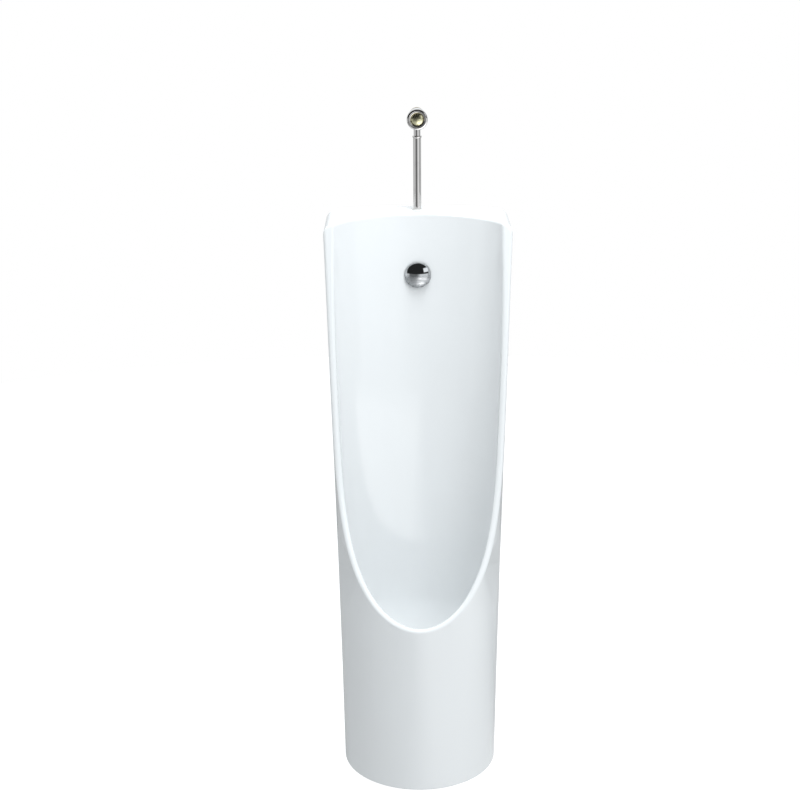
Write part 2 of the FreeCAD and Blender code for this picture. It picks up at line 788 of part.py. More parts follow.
bonnet_middle = (bonnet_back + bonnet_front) / 2
stem_hole = stem_diameter / 2 + run_gap
stem_groove = stem_hole + ring_section + run_gap
stem_groove_half = ring_section / 2 + run_gap * 2
finish(at_valve("valve_bonnet", [
    (stem_hole, bonnet_back + seat_gap),
    (bonnet_bore / 2, bonnet_back + seat_gap),
    (bonnet_bore / 2, bonnet_front),
    (stem_hole, bonnet_front),
    (stem_hole, bonnet_middle + stem_groove_half),
    (stem_groove, bonnet_middle + stem_groove_half),
    (stem_groove, bonnet_middle - stem_groove_half),
    (stem_hole, bonnet_middle - stem_groove_half),
]), "valve_bonnet")
o_ring("stem_seal", stem_hole * 2, FORWARD, bonnet_middle, valve_height)

bezel_radius = bezel_diameter / 2
bezel_land = bezel_radius - bezel_round - bezel_step
bezel_mouth = bezel_bore / 2
finish(at_valve("front_bezel", [
    (bezel_mouth, bonnet_front + seat_gap),
    (bonnet_bore / 2, bonnet_front + seat_gap),
    (bonnet_bore / 2, valve_front + seat_gap),
    (bezel_radius, valve_front + seat_gap),
    (bezel_radius, bezel_front - bezel_round, bezel_round, 1),
    (bezel_radius - bezel_round, bezel_front),
    (bezel_land, bezel_front),
    (bezel_land, bezel_front - bezel_step),
    (bezel_mouth + bezel_step, bezel_front - bezel_step),
    (bezel_mouth, bezel_front - bezel_step * 2),
]), "front_bezel")

button_radius = button_diameter / 2
button_hollow = button_radius - button_wall
button_back = bonnet_front + button_travel + button_stop
finish(at_valve("push_button", [
    (0, stem_front),
    (button_hollow, stem_front),
    (button_hollow, button_back),
    (button_radius, button_back),
    (button_radius, button_front - button_crown, cap_radius(button_radius, button_crown), 1),
    (0, button_front),
]), "push_button")


def spring_path(radius, low, high, turns):
    """A helix drawn with two arcs to each quarter turn."""

    def place(share):
        angle = 2 * math.pi * turns * share
        return Vector(radius * math.cos(angle), radius * math.sin(angle), low + (high - low) * share)

    def way(share):
        angle = 2 * math.pi * turns * share
        around = 2 * math.pi * turns * radius
        return Vector(-around * math.sin(angle), around * math.cos(angle), high - low).normalize()

    def arc(start, tip, end):
        middle = (start + end) / 2
        flat = (end - start).Length / 2 / (tip - start).Length
        return Part.Arc(start, middle + (tip - middle) * (flat / (1 + flat)), end).toShape()

    quarters = round(turns * 4)
    edges = []
    for number in range(quarters):
        start, end = place(number / quarters), place((number + 1) / quarters)
        go, come = way(number / quarters), way((number + 1) / quarters)
        chord = end - start
        along = chord.dot(go + come)
        spread = 2 * (1 - go.dot(come))
        reach = (math.sqrt(along**2 + spread * chord.dot(chord)) - along) / spread
        first_tip, second_tip = start + go * reach, end - come * reach
        joint = (first_tip + second_tip) / 2
        edges.append(arc(start, first_tip, joint))
        edges.append(arc(joint, second_tip, end))
    return Part.Wire(edges), place(0), way(0)


wire = spring_wire.number
spring_low = bonnet_front.number + wire / 2 + seat_gap.number
spring_high = stem_front.number - wire / 2 - seat_gap.number
turns = spring_turns.number
path, first_place, first_way = spring_path(spring_diameter.number / 2, spring_low, spring_high, turns)
section = Part.Wire(Part.makeCircle(wire / 2, first_place, first_way))
spring = doc.addObject("Part::Feature", "return_spring")
spring.Shape = path.makePipeShell([section], True, False)
seat(spring, FORWARD, 0, 0, valve_height)
finish(spring, "return_spring")
print("spring least gap between turns", round((spring_high - spring_low) / turns - wire, 2), "mm")

nipple_thread_end = inlet_reach + nipple_end - hole_gap
finish(turned("inlet_nipple", [
    (inlet_bore / 2, 0),
    (thread_radius, 0),
    (thread_radius, inlet_reach + hole_gap),
    (collar_diameter / 2, inlet_reach + hole_gap),
    (collar_diameter / 2, inlet_reach + valve_back - seat_gap),
    (thread_radius, inlet_reach + valve_back - seat_gap),
    (thread_radius, nipple_thread_end),
    (inlet_bore / 2, nipple_thread_end),
], FORWARD, -inlet_reach, valve_height), "inlet_nipple")
FILTER_RING_HOLES = 6
filter_disc = cylinder("filter_disc", inlet_bore - run_gap * 2, filter_thick, FORWARD, 0,
                       valve_back, valve_height)
filter_holes = [cylinder("filter_hole_0", filter_hole, filter_thick * 3, FORWARD, 0,
                         valve_back - filter_thick, valve_height)]
for number in range(FILTER_RING_HOLES):
    angle = 2 * math.pi * number / FILTER_RING_HOLES
    right = filter_ring * math.cos(angle)
    up = filter_ring * math.sin(angle)
    filter_holes.append(cylinder(f"filter_hole_{number + 1}", filter_hole, filter_thick * 3, FORWARD,
                                 right, valve_back - filter_thick, valve_height + up))
finish(cut("inlet_filter", filter_disc, filter_holes), "inlet_filter")

# Flush pipe, its seals and the elbow behind the bowl
pipe_radius = pipe_diameter / 2
finish(turned("flush_pipe", [
    (pipe_bore / 2, pipe_foot),
    (pipe_radius, pipe_foot),
    (pipe_radius, pipe_head - pipe_lip * 3),
    (pipe_radius + pipe_lip, pipe_head - pipe_lip * 2),
    (pipe_radius + pipe_lip, pipe_head),
    (pipe_bore / 2, pipe_head),
], UP, pipe_depth, 0), "flush_pipe")
o_ring("pipe_head_seal", ring_hole, UP, pipe_depth, ring_middle, thin_ring)
ring("inlet_grommet", pipe_diameter + run_gap * 2, grommet_diameter, body_height - top_slab,
     body_height + grommet_stand, UP, pipe_depth, 0)

elbow_front = spreader_rear - back_washer_thick - back_nut_thick - seat_gap * 6
corner = doc.addObject("Part::Sphere", "elbow_corner")
bind(corner, "Radius", elbow_diameter / 2)
seat(corner, UP, 0, pipe_depth, spreader_height)
elbow_solid = fuse("elbow_casting", [
    corner,
    cylinder("elbow_upright", elbow_diameter, elbow_top - spreader_height, UP, 0,
             pipe_depth, spreader_height),
    cylinder("elbow_mouth", elbow_socket, elbow_front - pipe_depth, FORWARD, 0,
             pipe_depth, spreader_height),
])
elbow_groove = pipe_diameter + (run_gap * 2 + ring_section) * 2
elbow_groove_tall = ring_section + run_gap * 4
finish(cut("inlet_elbow", elbow_solid, [
    cylinder("elbow_pipe_socket", pipe_diameter + run_gap * 2, elbow_top - pipe_foot + hole_gap * 2, UP,
             0, pipe_depth, pipe_foot - hole_gap),
    cylinder("elbow_way_down", elbow_bore, pipe_foot - spreader_height, UP, 0,
             pipe_depth, spreader_height),
    cylinder("elbow_way_on", elbow_bore, elbow_front - pipe_depth, FORWARD, 0,
             pipe_depth, spreader_height),
    cylinder("elbow_thread", half_inch_thread + run_gap * 2, elbow_front - tail_end + hole_gap * 2,
             FORWARD, 0, tail_end - hole_gap, spreader_height),
    cylinder("elbow_groove", elbow_groove, elbow_groove_tall, UP, 0,
             pipe_depth, elbow_ring_height - elbow_groove_tall / 2),
]), "inlet_elbow")
o_ring("elbow_seal", pipe_diameter + run_gap * 2, UP, pipe_depth, elbow_ring_height)

# Water spreader: a threaded body through the bowl's back, under a chrome dome


def at_spreader(name, corners):
    """A piece turned about the spreader's axis, its corners as (radius, depth from the wall)."""
    return turned(name, corners, FORWARD, 0, spreader_height)


flange_back = spreader_seat + gasket_thick + seat_gap * 2
dome_radius = dome_diameter / 2
dome_inner = dome_radius - dome_wall
dome_edge = flange_back + dome_skirt
dome_front = dome_edge + dome_rise
dome_inner_rise = dome_rise - dome_wall
finish(at_spreader("spreader_body", [
    (spreader_bore / 2, tail_end),
    (thread_radius, tail_end),
    (thread_radius, flange_back),
    (dome_inner - run_gap, flange_back),
    (dome_inner - run_gap, flange_back + spreader_flange),
    (spreader_bore / 2, flange_back + spreader_flange),
]), "spreader_body")
dome_shell = at_spreader("dome_shell", [
    (dome_inner, flange_back),
    (dome_radius, flange_back),
    (dome_radius, dome_edge, cap_radius(dome_radius, dome_rise), 1),
    (0, dome_front),
    (0, dome_front - dome_wall, cap_radius(dome_inner, dome_inner_rise), -1),
    (dome_inner, dome_edge),
])
jet_depth = flange_back + spreader_flange + jet_forward
JET_ANGLES = (-50, -25, 0, 25, 50)
jets = []
for angle in JET_ANGLES:
    down = Vector(math.sin(math.radians(angle)), 0, -math.cos(math.radians(angle)))
    jets.append(cylinder(f"jet_{len(jets)}", dome_jet, dome_diameter, Rotation(Vector(0, 0, 1), down), 0,
                         jet_depth, spreader_height))
finish(cut("spreader_dome", dome_shell, jets), "spreader_dome")
ring("spreader_gasket", half_inch_thread + hole_gap, dome_diameter - seat_margin / 2,
     spreader_seat + seat_gap, spreader_seat + seat_gap + gasket_thick, FORWARD, 0, spreader_height)
washer_back = spreader_rear - back_washer_thick - seat_gap
ring("spreader_back_washer", half_inch_thread + hole_gap, back_washer_diameter, washer_back,
     spreader_rear - seat_gap, FORWARD, 0, spreader_height)
nut("spreader_back_nut", 6, back_nut_flats, half_inch_thread + run_gap * 2, back_nut_thick, FORWARD,
    washer_back - back_nut_thick - seat_gap, spreader_height)

# Waste: a flanged tail through the bowl's floor, with a loose strainer in it


def at_drain(name, corners):
    """A piece turned about the drain's upright axis, its corners as (radius, height above the foot)."""
    return turned(name, corners, UP, drain_depth, 0)


waste_radius = waste_thread / 2
washer_low = waste_boss_low - waste_washer_thick - seat_gap
waste_nut_low = washer_low - waste_nut_thick - seat_gap
trap_nut_top = waste_nut_low - trap_nut_clear
nut_web = trap_nut_top - trap_nut_web
seal_low = nut_web - seat_gap - trap_seal_thick
trap_boss_top = seal_low - seat_gap
waste_tail_end = trap_boss_top - waste_tail_lap
flange_low = bowl_floor_height + waste_gasket_thick + seat_gap * 2
flange_top = flange_low + waste_flange_thick
recess_floor = flange_top - waste_flange_thick / 2
finish(at_drain("waste_flange", [
    (waste_bore / 2, waste_tail_end),
    (waste_radius, waste_tail_end),
    (waste_radius, flange_low),
    (waste_flange_diameter / 2, flange_low),
    (waste_flange_diameter / 2, flange_top - seat_margin / 2),
    (waste_flange_diameter / 2 - seat_margin / 2, flange_top),
    (strainer_diameter / 2 + hole_gap, flange_top),
    (strainer_diameter / 2 + hole_gap, recess_floor),
    (waste_bore / 2, recess_floor),
]), "waste_flange")
ring("waste_gasket", waste_hole + hole_gap, waste_flange_diameter - seat_margin / 2,
     bowl_floor_height + seat_gap, flange_low - seat_gap, UP, drain_depth, 0)
ring("waste_back_washer", waste_thread + hole_gap, waste_washer_diameter, washer_low,
     waste_boss_low - seat_gap, UP, drain_depth, 0)
nut("waste_back_nut", 8, waste_nut_flats, waste_thread + run_gap * 2, waste_nut_thick, UP,
    drain_depth, waste_nut_low)

strainer_low = recess_floor + seat_gap
dome_half = strainer_dome / 2
under_half = dome_half - strainer_sheet
strainer_round = cap_radius(dome_half, strainer_rise)
under_round = cap_radius(under_half, strainer_rise)
strainer = at_drain("strainer", [
    (under_half, strainer_low),
    (strainer_diameter / 2, strainer_low),
    (strainer_diameter / 2, strainer_low + strainer_sheet),
    (dome_half, strainer_low + strainer_sheet, strainer_round, 1),
    (0, strainer_low + strainer_sheet + strainer_rise),
    (0, strainer_low + strainer_rise, under_round, -1),
])


def drill_ring(body, name, hole, out, count):
    """Drill a body through, straight up, once at a distance from its axis and again round the ring."""
    sketch = new_sketch(body, f"{name}_sketch", "XY_Plane")
    circle = Part.Circle(Vector(out.number, 0, 0), Vector(0, 0, 1), hole.number / 2)
    index = sketch.addGeometry(circle)
    hold(sketch, index, 3, out, 0)
    row = sketch.addConstraint(Sketcher.Constraint("Radius", index, hole.number / 2))
    bind(sketch, f"Constraints[{row}]", hole / 2)
    pocket = body.newObject("PartDesign::Pocket", f"{name}_pocket")
    pocket.Profile = sketch
    pocket.Type = "ThroughAll"
    pocket.Reversed = True
    around = body.newObject("PartDesign::PolarPattern", f"{name}_pattern")
    around.Originals = [pocket]
    around.Axis = (sketch, ["N_Axis"])
    around.Angle = 360
    around.Occurrences = count
    body.Tip = around
    sketch.Visibility = False


doc.recompute()
INNER_HOLES = 7
OUTER_HOLES = 14
drill_ring(strainer, "strainer_inner", strainer_hole, strainer_inner_ring, INNER_HOLES)
drill_ring(strainer, "strainer_outer", strainer_hole, strainer_outer_ring, OUTER_HOLES)
finish(strainer, "strainer")

# Bottle trap below the waste, and its outlet to the wall
trap_nut_low = trap_boss_top - trap_nut_lap
trap_top = trap_boss_top - trap_boss_rise
trap_low = trap_top - trap_tall
dip_tube_low = trap_low - dip_tube_drop
cup_low = trap_low - cup_drop
cup_top = trap_low + cup_lap
outlet_height = trap_top - outlet_drop
trap_radius = trap_diameter / 2
trap_hollow = trap_radius - trap_wall
boss_radius = trap_boss / 2
boss_bore = waste_radius + hole_gap / 2
dip_radius = dip_tube_diameter / 2
dip_hole = dip_radius + hole_gap / 2
outlet_boss_end = drain_depth - outlet_boss_long
outlet_pipe_front = drain_depth - trap_radius - outlet_pipe_gap
outlet_way = outlet_diameter - outlet_wall * 2
trap_shell = at_drain("trap_shell", [
    (dip_hole, trap_top - trap_wall),
    (trap_hollow, trap_top - trap_wall),
    (trap_hollow, trap_low),
    (trap_radius, trap_low),
    (trap_radius, trap_top),
    (boss_radius, trap_top),
    (boss_radius, trap_boss_top),
    (boss_bore, trap_boss_top),
    (boss_bore, trap_top),
    (dip_hole, trap_top),
])
trap_side = cylinder("trap_side", outlet_boss, outlet_boss_long - trap_hollow, FORWARD, 0,
                     outlet_boss_end, outlet_height)
trap_inside = cylinder("trap_inside", trap_hollow * 2, trap_top - trap_wall - trap_low, UP, 0,
                       drain_depth, trap_low)
trap_socket = cylinder("trap_socket", outlet_diameter + run_gap * 2,
                       outlet_pipe_front - outlet_boss_end + hole_gap * 2, FORWARD, 0,
                       outlet_boss_end - hole_gap, outlet_height)
trap_way = cylinder("trap_way", outlet_way, drain_depth - outlet_pipe_front - dip_radius - trap_wall,
                    FORWARD, 0, outlet_pipe_front, outlet_height)
trap_solid = fuse("trap_casting", [trap_shell, trap_side])
finish(cut("trap_body", trap_solid, [trap_inside, trap_socket, trap_way]), "trap_body")

finish(at_drain("trap_dip_tube", [
    (dip_radius - outlet_wall, dip_tube_low),
    (dip_radius, dip_tube_low),
    (dip_radius, trap_top + seat_gap),
    (waste_radius, trap_top + seat_gap),
    (waste_radius, trap_top + seat_gap + outlet_wall),
    (dip_radius - outlet_wall, trap_top + seat_gap + outlet_wall),
]), "trap_dip_tube")
ring("trap_inlet_seal", waste_thread + run_gap * 2, trap_boss - run_gap * 2, seal_low,
     seal_low + trap_seal_thick, UP, drain_depth, 0)
finish(at_drain("trap_inlet_nut", [
    (boss_radius + run_gap, trap_nut_low),
    (trap_nut_diameter / 2, trap_nut_low),
    (trap_nut_diameter / 2, trap_nut_top),
    (boss_bore, trap_nut_top),
    (boss_bore, nut_web),
    (boss_radius + run_gap, nut_web),
]), "trap_inlet_nut")

cup_thread = trap_radius + run_gap
cup_radius = cup_thread + cup_wall
cup_step = trap_low - cup_seal_thick - seat_gap * 2
cup_hollow = trap_hollow - hole_gap
finish(at_drain("trap_cup", [
    (0, cup_low),
    (cup_radius - cup_chamfer, cup_low),
    (cup_radius, cup_low + cup_chamfer),
    (cup_radius, cup_top),
    (cup_thread, cup_top),
    (cup_thread, cup_step),
    (cup_hollow, cup_step),
    (cup_hollow, cup_low + cup_wall),
    (0, cup_low + cup_wall),
]), "trap_cup")
ring("trap_cup_seal", trap_hollow * 2 + hole_gap, trap_diameter - run_gap * 2, cup_step + seat_gap,
     trap_low - seat_gap, UP, drain_depth, 0)

outlet_seal_front = outlet_boss_end - seat_gap
outlet_seal_back = outlet_seal_front - trap_seal_thick
ring("outlet_seal", outlet_diameter + run_gap * 2, outlet_boss - run_gap * 2, outlet_seal_back,
     outlet_seal_front, FORWARD, 0, outlet_height)
outlet_web = outlet_seal_back - seat_gap
outlet_nut_hole = outlet_diameter / 2 + hole_gap / 2
finish(turned("outlet_nut", [
    (outlet_nut_hole, outlet_web - outlet_nut_web),
    (outlet_nut_diameter / 2, outlet_web - outlet_nut_web),
    (outlet_nut_diameter / 2, outlet_boss_end + outlet_nut_lap),
    (outlet_boss / 2 + run_gap, outlet_boss_end + outlet_nut_lap),
    (outlet_boss / 2 + run_gap, outlet_web),
    (outlet_nut_hole, outlet_web),
], FORWARD, 0, outlet_height), "outlet_nut")
bead_back = outlet_reach + hole_gap
bead_front = bead_back + stop_bead
outlet_radius = outlet_diameter / 2
finish(turned("outlet_pipe", [
    (outlet_way / 2, 0),
    (outlet_radius, 0),
    (outlet_radius, bead_back),
    (outlet_radius + stop_bead, bead_back),
    (outlet_radius + stop_bead, bead_front),
    (outlet_radius, bead_front),
    (outlet_radius, outlet_reach + outlet_pipe_front),
    (outlet_way / 2, outlet_reach + outlet_pipe_front),
], FORWARD, -outlet_reach, outlet_height), "outlet_pipe")
rosette_front = hole_gap + rosette_thick
rosette_radius = rosette_diameter / 2
bead_hollow = outlet_radius + stop_bead + run_gap * 2
bead_seat = hole_gap + stop_bead + seat_gap
finish(turned("wall_rosette", [
    (bead_hollow, hole_gap),
    (rosette_radius, hole_gap),
    (rosette_radius, rosette_front - rosette_chamfer),
    (rosette_radius - rosette_chamfer, rosette_front),
    (outlet_radius + run_gap, rosette_front),
    (outlet_radius + run_gap, bead_seat),
    (bead_hollow, bead_seat),
], FORWARD, 0, outlet_height), "wall_rosette")

# Checks and files
doc.recompute()
for thing in doc.Objects:
    if {"Invalid", "Error"} & set(thing.State):
        raise RuntimeError(f"{thing.Label} did not build: {thing.State}")
for piece in pieces:
    if piece.Shape.isNull() or not piece.Shape.isValid():
        raise RuntimeError(f"{piece.Label} has no valid shape")
    print(piece.Label, len(piece.Shape.Solids), round(piece.Shape.Volume / 1000, 2), "cm3")
for piece in pieces:
    piece.Shape.exportStep(f"parts/{piece.Label}.step")
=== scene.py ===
# %% [markdown]
# A wall-hung china urinal, dressed in Blender
#
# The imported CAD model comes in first, as a fixed frame in metres. X runs to the right, Y runs into the
# wall and Z runs up; the origin is the middle of the four hanger screws on the face of the wall. Every
# piece below is drawn in that same frame, so nothing has to be fitted by eye.

# %% Load the frame
import json
import math

import bpy
from mathutils import Matrix, Vector
from mathutils.bvhtree import BVHTree


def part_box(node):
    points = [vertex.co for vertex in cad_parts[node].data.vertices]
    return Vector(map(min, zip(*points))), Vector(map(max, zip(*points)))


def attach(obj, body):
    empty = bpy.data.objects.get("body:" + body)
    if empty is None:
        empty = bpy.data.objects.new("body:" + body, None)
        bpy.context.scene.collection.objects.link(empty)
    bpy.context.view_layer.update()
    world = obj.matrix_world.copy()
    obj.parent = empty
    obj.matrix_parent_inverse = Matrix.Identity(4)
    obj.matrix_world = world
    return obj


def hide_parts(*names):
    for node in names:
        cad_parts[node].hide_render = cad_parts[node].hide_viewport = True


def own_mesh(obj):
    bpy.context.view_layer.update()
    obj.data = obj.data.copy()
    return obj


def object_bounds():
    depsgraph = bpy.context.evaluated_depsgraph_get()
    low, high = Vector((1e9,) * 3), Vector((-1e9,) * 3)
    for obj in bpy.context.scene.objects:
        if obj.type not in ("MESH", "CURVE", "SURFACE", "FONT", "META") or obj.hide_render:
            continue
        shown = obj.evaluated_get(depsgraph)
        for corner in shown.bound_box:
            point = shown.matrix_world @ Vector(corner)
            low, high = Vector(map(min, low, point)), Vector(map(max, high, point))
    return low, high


MM = 0.001

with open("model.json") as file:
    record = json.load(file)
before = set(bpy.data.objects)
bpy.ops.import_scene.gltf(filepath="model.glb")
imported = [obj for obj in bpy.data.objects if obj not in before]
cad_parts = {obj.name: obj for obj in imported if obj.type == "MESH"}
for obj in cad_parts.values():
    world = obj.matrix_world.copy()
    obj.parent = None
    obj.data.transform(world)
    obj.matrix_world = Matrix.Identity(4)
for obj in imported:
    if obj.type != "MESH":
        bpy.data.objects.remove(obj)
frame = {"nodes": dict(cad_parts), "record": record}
cad_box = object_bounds()
nodes = frame["nodes"]
print("CAD nodes:", len(nodes), "box:", [[round(n, 4) for n in corner] for corner in cad_box])

# %% [markdown]
# The camera
#
# The photograph looks down on the bowl from a standing person's eye, a little left of the middle, through
# a short telephoto lens. The picture leans by about 0.4 of a degree. A camera is an object like any other,
# so its lens, place and turn are simply set.

# %% Camera
SENSOR = 36 * MM
PHOTO_PIXELS = 800
FOCAL_PIXELS = 1656.6
CAMERA_PLACE = (-0.0325, -2.900, 0.805)
LOOK_DOWN = math.radians(17.42)
ROLL = math.radians(-0.38)

camera_data = bpy.data.cameras.new("photo_camera")
camera_data.sensor_width = SENSOR / MM
camera_data.lens = SENSOR / MM * FOCAL_PIXELS / PHOTO_PIXELS
camera = bpy.data.objects.new("photo_camera", camera_data)
bpy.context.scene.collection.objects.link(camera)
turn = Matrix.Rotation(math.pi / 2 - LOOK_DOWN, 4, "X") @ Matrix.Rotation(ROLL, 4, "Z")
camera.matrix_world = Matrix.Translation(CAMERA_PLACE) @ turn
bpy.context.scene.camera = camera
print("camera lens:", round(camera_data.lens, 2), "mm")

# %% [markdown]
# Helpers for modelling
#
# An operator works on whatever is selected, and loading the frame leaves its nodes selected, so every
# step starts from an empty selection. In edit mode, faces and edges are picked in code by a test on their
# place or direction, which stands for clicking on them. Points that lie within a few millionths of a metre
# of each other count as one point and are merged, so that a skin is closed.

# %% Selection helpers
WELD = 0.002 * MM


def start_fresh():
    """Leave edit mode and deselect everything."""
    if bpy.context.object and bpy.context.object.mode != "OBJECT":
        bpy.ops.object.mode_set(mode="OBJECT")
    bpy.ops.object.select_all(action="DESELECT")


def make_active(piece):
    """Select one object alone and make it the active one."""
    start_fresh()
    piece.select_set(True)
    bpy.context.view_layer.objects.active = piece


def merge_points(piece, keep_shading=False):
    """Merge the points of a piece that lie in one place."""
    make_active(piece)
    bpy.ops.object.mode_set(mode="EDIT")
    bpy.ops.mesh.select_all(action="SELECT")
    bpy.ops.mesh.remove_doubles(threshold=WELD, use_sharp_edge_from_normals=keep_shading)
    bpy.ops.object.mode_set(mode="OBJECT")


# %% [markdown]
# Shader helpers
#
# Each finish is a material with one Principled BSDF. Numbers that hold all over a surface are set on its
# own sockets; what changes over the surface comes from noise and Voronoi textures on Object coordinates,
# so the patterns are in real metres and stay put.

# %% Textures


def new_finish(name):
    """An empty material: its tree, its Principled BSDF and its Object coordinates."""
    material = bpy.data.materials.new(name)
    material.use_nodes = True
    tree = material.node_tree
    coordinates = tree.nodes.new("ShaderNodeTexCoord")
    return material, tree, tree.nodes["Principled BSDF"], coordinates.outputs["Object"]


def noise(tree, where, scale, detail=3.0, stretch=None):
    """Noise from 0 to 1 at a scale per metre, stretched along the axes if asked."""
    if stretch:
        mapping = tree.nodes.new("ShaderNodeMapping")
        mapping.inputs["Scale"].default_value = stretch
        tree.links.new(where, mapping.inputs["Vector"])
        where = mapping.outputs["Vector"]
    texture = tree.nodes.new("ShaderNodeTexNoise")
    texture.inputs["Scale"].default_value = scale
    texture.inputs["Detail"].default_value = detail
    tree.links.new(where, texture.inputs["Vector"])
    return texture.outputs["Fac"]


def cell_colours(tree, where, scale):
    """A colour of its own for each Voronoi cell, at a scale per metre."""
    texture = tree.nodes.new("ShaderNodeTexVoronoi")
    texture.inputs["Scale"].default_value = scale
    tree.links.new(where, texture.inputs["Vector"])
    return texture.outputs["Color"]


# %% Values, colours and relief


def spread(tree, value, low, high, from_low=0.0, from_high=1.0):
    """A value remapped from one range to another."""
    remap = tree.nodes.new("ShaderNodeMapRange")
    limits = {"From Min": from_low, "From Max": from_high, "To Min": low, "To Max": high}
    for socket, number in limits.items():
        remap.inputs[socket].default_value = number
    tree.links.new(value, remap.inputs["Value"])
    return remap.outputs["Result"]


def two_colours(tree, share, first, second):
    """A colour between two, by a share from 0 to 1."""
    mix = tree.nodes.new("ShaderNodeMix")
    mix.data_type = "RGBA"
    mix.inputs["A"].default_value = (*first, 1)
    mix.inputs["B"].default_value = (*second, 1)
    tree.links.new(share, mix.inputs["Factor"])
    return mix.outputs["Result"]


def arithmetic(tree, operation, first, second):
    """Two values put together by a math node."""
    node = tree.nodes.new("ShaderNodeMath")
    node.operation = operation
    for socket, value in zip(node.inputs, (first, second)):
        if isinstance(value, (int, float)):
            socket.default_value = value
        else:
            tree.links.new(value, socket)
    return node.outputs["Value"]


def relief(tree, shader, height, deep, strength, under=None):
    """A bump on the surface, on top of another one if given."""
    bump = tree.nodes.new("ShaderNodeBump")
    bump.inputs["Distance"].default_value = deep
    bump.inputs["Strength"].default_value = strength
    tree.links.new(height, bump.inputs["Height"])
    if under:
        tree.links.new(under, bump.inputs["Normal"])
    tree.links.new(bump.outputs["Normal"], shader.inputs["Normal"])
    return bump.outputs["Normal"]


# %% [markdown]
# Vitreous china
#
# The body is cast china under a thick, glossy white glaze. The glaze is never quite flat: it pools in a
# long, very shallow ripple, and its gloss changes slightly where it ran thin. All of that is in two bumps
# of less than half a millimetre and a small change of roughness; the white itself barely changes.

# %% Glaze
GLAZE_WHITE = (0.875, 0.893, 0.902)
GLAZE_WARM = (0.865, 0.878, 0.884)
GLAZE_IOR = 1.52
RIPPLE_DEEP = 0.4 * MM
PEEL_DEEP = 0.06 * MM

glaze, tree, shader, where = new_finish("white_glaze")
pools = noise(tree, where, scale=9, detail=4)
tree.links.new(two_colours(tree, pools, GLAZE_WARM, GLAZE_WHITE), shader.inputs["Base Color"])
thin_places = noise(tree, where, scale=14)
tree.links.new(spread(tree, thin_places, low=0.05, high=0.12), shader.inputs["Roughness"])
shader.inputs["IOR"].default_value = GLAZE_IOR
ripple = relief(tree, shader, noise(tree, where, scale=22, detail=1), RIPPLE_DEEP, strength=0.35)
relief(tree, shader, noise(tree, where, scale=380, detail=2), PEEL_DEEP, strength=0.12, under=ripple)
print("finish:", glaze.name)

# %% [markdown]
# Chrome, brass, steel, rubber and plastic
#
# The fittings are turned brass under chrome plate, bare brass, stainless sheet, moulded rubber and plain
# plastic. They share two effects, so each is a node group with its own sockets: fine handling scratches,
# and the dull film that water leaves.

# %% Shared effects
SCRATCH_WAYS = ((1, 0.03, 0.6), (0.05, 1, 0.4), (0.5, 0.6, 0.04))


def group_of(name, inputs, outputs):
    """An empty node group with float inputs, a vector input and float outputs."""
    group = bpy.data.node_groups.new(name, "ShaderNodeTree")
    group.interface.new_socket("Where", in_out="INPUT", socket_type="NodeSocketVector")
    for label, number in inputs.items():
        socket = group.interface.new_socket(label, in_out="INPUT", socket_type="NodeSocketFloat")
        socket.default_value = number
    for label in outputs:
        group.interface.new_socket(label, in_out="OUTPUT", socket_type="NodeSocketFloat")
    return group, group.nodes.new("NodeGroupInput"), group.nodes.new("NodeGroupOutput")


def scratches_group():
    """Fine crossing scratches as a mask from 0 to 1."""
    group, given, result = group_of("fine_scratches", {"Scale": 900.0}, ["Mask"])
    lines = []
    for stretch in SCRATCH_WAYS:
        mapping = group.nodes.new("ShaderNodeMapping")
        mapping.inputs["Scale"].default_value = stretch
        group.links.new(given.outputs["Where"], mapping.inputs["Vector"])
        texture = group.nodes.new("ShaderNodeTexNoise")
        group.links.new(given.outputs["Scale"], texture.inputs["Scale"])
        group.links.new(mapping.outputs["Vector"], texture.inputs["Vector"])
        lines.append(spread(group, texture.outputs["Fac"], 0, 1, from_low=0.62, from_high=0.72))
    total = lines[0]
    for line in lines[1:]:
        total = arithmetic(group, "MAXIMUM", total, line)
    group.links.new(total, result.inputs["Mask"])
    return group


def film_group():
    """The dull, patchy film that dried water leaves, as a mask from 0 to 1."""
    group, given, result = group_of("water_film", {"Scale": 60.0}, ["Mask"])
    texture = group.nodes.new("ShaderNodeTexNoise")
    texture.inputs["Detail"].default_value = 5
    group.links.new(given.outputs["Where"], texture.inputs["Vector"])
    group.links.new(given.outputs["Scale"], texture.inputs["Scale"])
    patches = spread(group, texture.outputs["Fac"], 0, 1, from_low=0.45, from_high=0.75)
    group.links.new(patches, result.inputs["Mask"])
    return group


# %% Placing the effects
SCRATCHES = scratches_group()
FILM = film_group()


def effect(tree, group, where, scale):
    """Place a shared effect in a material and give back its mask."""
    node = tree.nodes.new("ShaderNodeGroup")
    node.node_tree = group
    node.inputs["Scale"].default_value = scale
    tree.links.new(where, node.inputs["Where"])
    return node.outputs["Mask"]


def together(tree, first, second, share):
    """One value plus a share of another."""
    add = tree.nodes.new("ShaderNodeMath")
    add.operation = "MULTIPLY_ADD"
    add.inputs[1].default_value = share
    tree.links.new(second, add.inputs[0])
    tree.links.new(first, add.inputs[2])
    return add.outputs["Value"]


print("shared effects:", SCRATCHES.name, FILM.name)

# %% Metal
GRAIN_DEEP = 0.03 * MM


